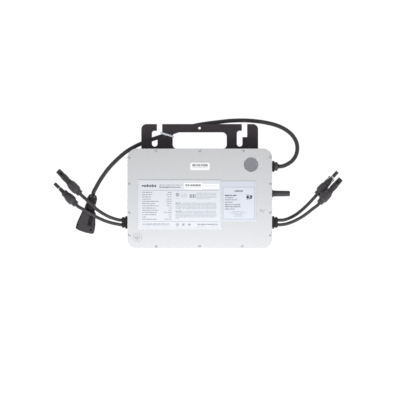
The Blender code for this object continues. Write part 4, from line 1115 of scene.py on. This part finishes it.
def make_ac_plug():
    """The mains plug: a fluted nut, a flat head with a wide mouth, a sprung rocker and three pins."""
    at = FRAMES["ac_plug"]
    outer = ((4.9, 0), (6.3, 0.4), (7.5, 2.4), (8.4, 4.2), (9.2, 7), (9.2, 16.2), (8.9, 17))
    ribs = ribbed(12, ((1.5, 0), (4.5, 0.55), (15.5, 0.55), (16.6, 0.1)))
    mesh = nut_mesh("plug_nut", outer, 4.3, 7.3, ribs, 12)
    show("plug_nut", mesh, DARK, "ac_plug_nut_body", at, stands_for="ac_plug_nut")
    seal = ((3.82, 4.9), (6.5, 4.9, 0.4), (6.9, 5.6, 0.3), (6.9, 8.5, 0.2), (3.82, 8.5))
    turned("plug_cable_seal", seal, 48, SEAL, "ac_plug_collet_body", at,
           stands_for="ac_plug_collet")

    flank = ((9.4, 20, 1.7), (9.8, 29.6, 1), (12.6, 31.6, 2), (13.3, 38, 20), (15, 46, 20), (16.4, 52, 16),
             (17.2, 58, 16))
    end = ((17.4, 67, 2.4), (14.4, 69.8, 2.4), (2, 70, 30), (-10, 68.9, 30), (-17.4, 66.4, 2))
    corners = [*flank, *end] + [(-x, z, radius) for x, z, radius in reversed(flank)]
    head = head_plate("plug_head", corners, HEAD_FACE, HEAD_BACK, 1.5, 4, 1.5)
    left_half = head_plate("left_half", [
        (1.9, 34.6, 1.2), (1.9, 57.4, 1), (15.6, 57.4, 1), (15.6, 65.4, 1.5), (-15, 64.6, 1.5),
        (-15.6, 57, 6), (-13, 46, 12), (-11.4, 36.6, 2), (-9.4, 34.6, 1.5),
    ], HEAD_FACE - 0.6, HEAD_FACE + 2, 0.55, 3, 0.1)
    mesh = carved(head, [left_half], "UNION")
    mouth = plate_mesh("mouth", [rectangle(-13.5, -6.2, 13.5, 3.4, 3)], 56.5, 72, 0.1, 1)
    well = head_plate("well", [
        (2.4, 36.4, 0.9), (11.2, 36.4, 0.9), (13.6, 46, 3), (15, 53, 1.5), (15, 56.1, 0.9),
        (2.4, 56.1, 0.9),
    ], HEAD_FACE - 0.5, HEAD_FACE + 1.1, 0.1, 1, steps=3)
    channel = plate_mesh("channel", [rectangle(2.4, 38.9, 9.3, 56.1, 0.9, 3)], -8, -1.4, 0.1, 1)
    channel.transform(FLAT)
    cuts = [((-16.3, 3, 57.8), (-13.7, 7.5, 60.6)), ((-15, 3, 64.4), (-12.2, 7.5, 66.2)),
            ((14.6, 2, 49.4), (18, 7.5, 52.4))]
    cuts += [((-18, 2.6, 38.4 + 2.4 * step), (-12 - 0.42 * step, 7.5, 39.4 + 2.4 * step))
             for step in range(7)]
    hole = lathe_mesh("release", ((0, 3.6), (1.8, 3.6), (1.8, 9), (0, 9)), 32)
    hole.transform(shifted(10.6, 0, 62.6) @ LEAN_BACK)
    mesh = carved(mesh, [mouth, well, channel, block_mesh("cuts", cuts), hole])
    finish_mesh(mesh)
    show("plug_head", mesh, BLACK, place=at, stands_for="ac_plug_body")
    neck = ((0, 31), (6, 31, 0.5), (9.2, 24, 2), (9.2, 17.4, 0.3), (7, 17.3), (7, 9), (0, 9))
    turned("plug_neck", neck, 80, SHADE, place=at, shape=fluted(12, 0.5, 18.2, 23.4, 4, 1.2))
    outline = rectangle(-6.6, 23.2, 9, 34.4, 1.2)
    mesh = plate_mesh("plug_shoulder", [outline], HEAD_FACE - 0.3, HEAD_FACE + 2, 0.4, 2)
    show("plug_shoulder", mesh, SHADE, place=at @ FLAT)
    # Painted shade: near-black blocks sunk in the three notches and the release hole stand for the shade that
    # falls in these recesses.
    dark = [((-16.2, 2.9, 57.9), (-13.8, 5.2, 60.5)), ((-14.9, 2.9, 64.5), (-12.3, 5.2, 66.1)),
            ((14.3, 1.9, 49.6), (16, 5.2, 52.2)), ((9, 3.5, 61), (12.2, 4.9, 64.2))]
    show("plug_notch_shade", block_mesh("plug_notch_shade", dark), SHADE, place=at)
    # Painted highlights: two grey spots on the upper side of the plug's nut stand for its two pale
    # highlights.
    dot = ((0, 0.9), (0.7, 0.7, 0.3), (1.1, 0), (0.7, -0.8), (0, -0.8))
    lean = Matrix.Rotation(-math.pi / 2 + 0.5, 4, "X")
    for number, x in enumerate((-3, 2.9), 1):
        turned(f"plug_nut_glint_{number}", dot, 24, SEAL, "ac_plug_nut_body",
               at @ shifted(x, 6.9, 3.6) @ lean)

    rocker = plate_mesh("plug_rocker", [rectangle(-3.1, -8.1, 3.1, 8.1, 0.8, 4)], -1.3, 1.4, 0.4, 3)
    grips = block_mesh("grips", [((-2.4, -6.9 + 1.5 * step, 1.2), (2.4, -6.3 + 1.5 * step, 1.75))
                                 for step in range(4)])
    rocker.transform(LEAN_BACK)
    grips.transform(LEAN_BACK)
    mesh = merged(rocker, [grips])
    mesh.transform(shifted(5.85, 4.4, 47.5))
    # The rocker takes the near-black SHADE, which paints the shade in the latch channel that it sits in.
    show("plug_rocker", mesh, SHADE, "ac_plug_latch", at, stands_for="ac_plug_latch")

    insert = plate_mesh("plug_insert", [rectangle(-13.2, -5.9, 13.2, 3.1, 2.7)], 56.8, 59, 0.3, 2)
    show("plug_insert", insert, DARK, place=at, stands_for="ac_plug_contacts")
    pin = ((0, 63.8), (1, 63.8, 0.5), (1.5, 63, 0.5), (1.5, 58.6), (0, 58.6))
    for number, x in enumerate((-8, 0, 8), 1):
        show(f"plug_pin_{number}", lathe_mesh("pin", pin, 32), TINNED,
             place=at @ shifted(x, -1.4, 0))


# ---------------- the whole scene

make_stage()
cords = make_cords()
make_case()
make_lid()
make_rating_label()
make_data_label()
make_serial_label()
make_lid_mark()
make_bracket()
make_cable_tie()
make_glands()
make_antenna()
for connector, make in (
    ("left_male", make_male), ("left_female", make_female),
    ("right_female", make_female), ("right_male", make_male),
):
    make(connector)
make_ac_plug()
for node, look in CAD_LOOKS.items():
    paint(NODES[node].data, look)
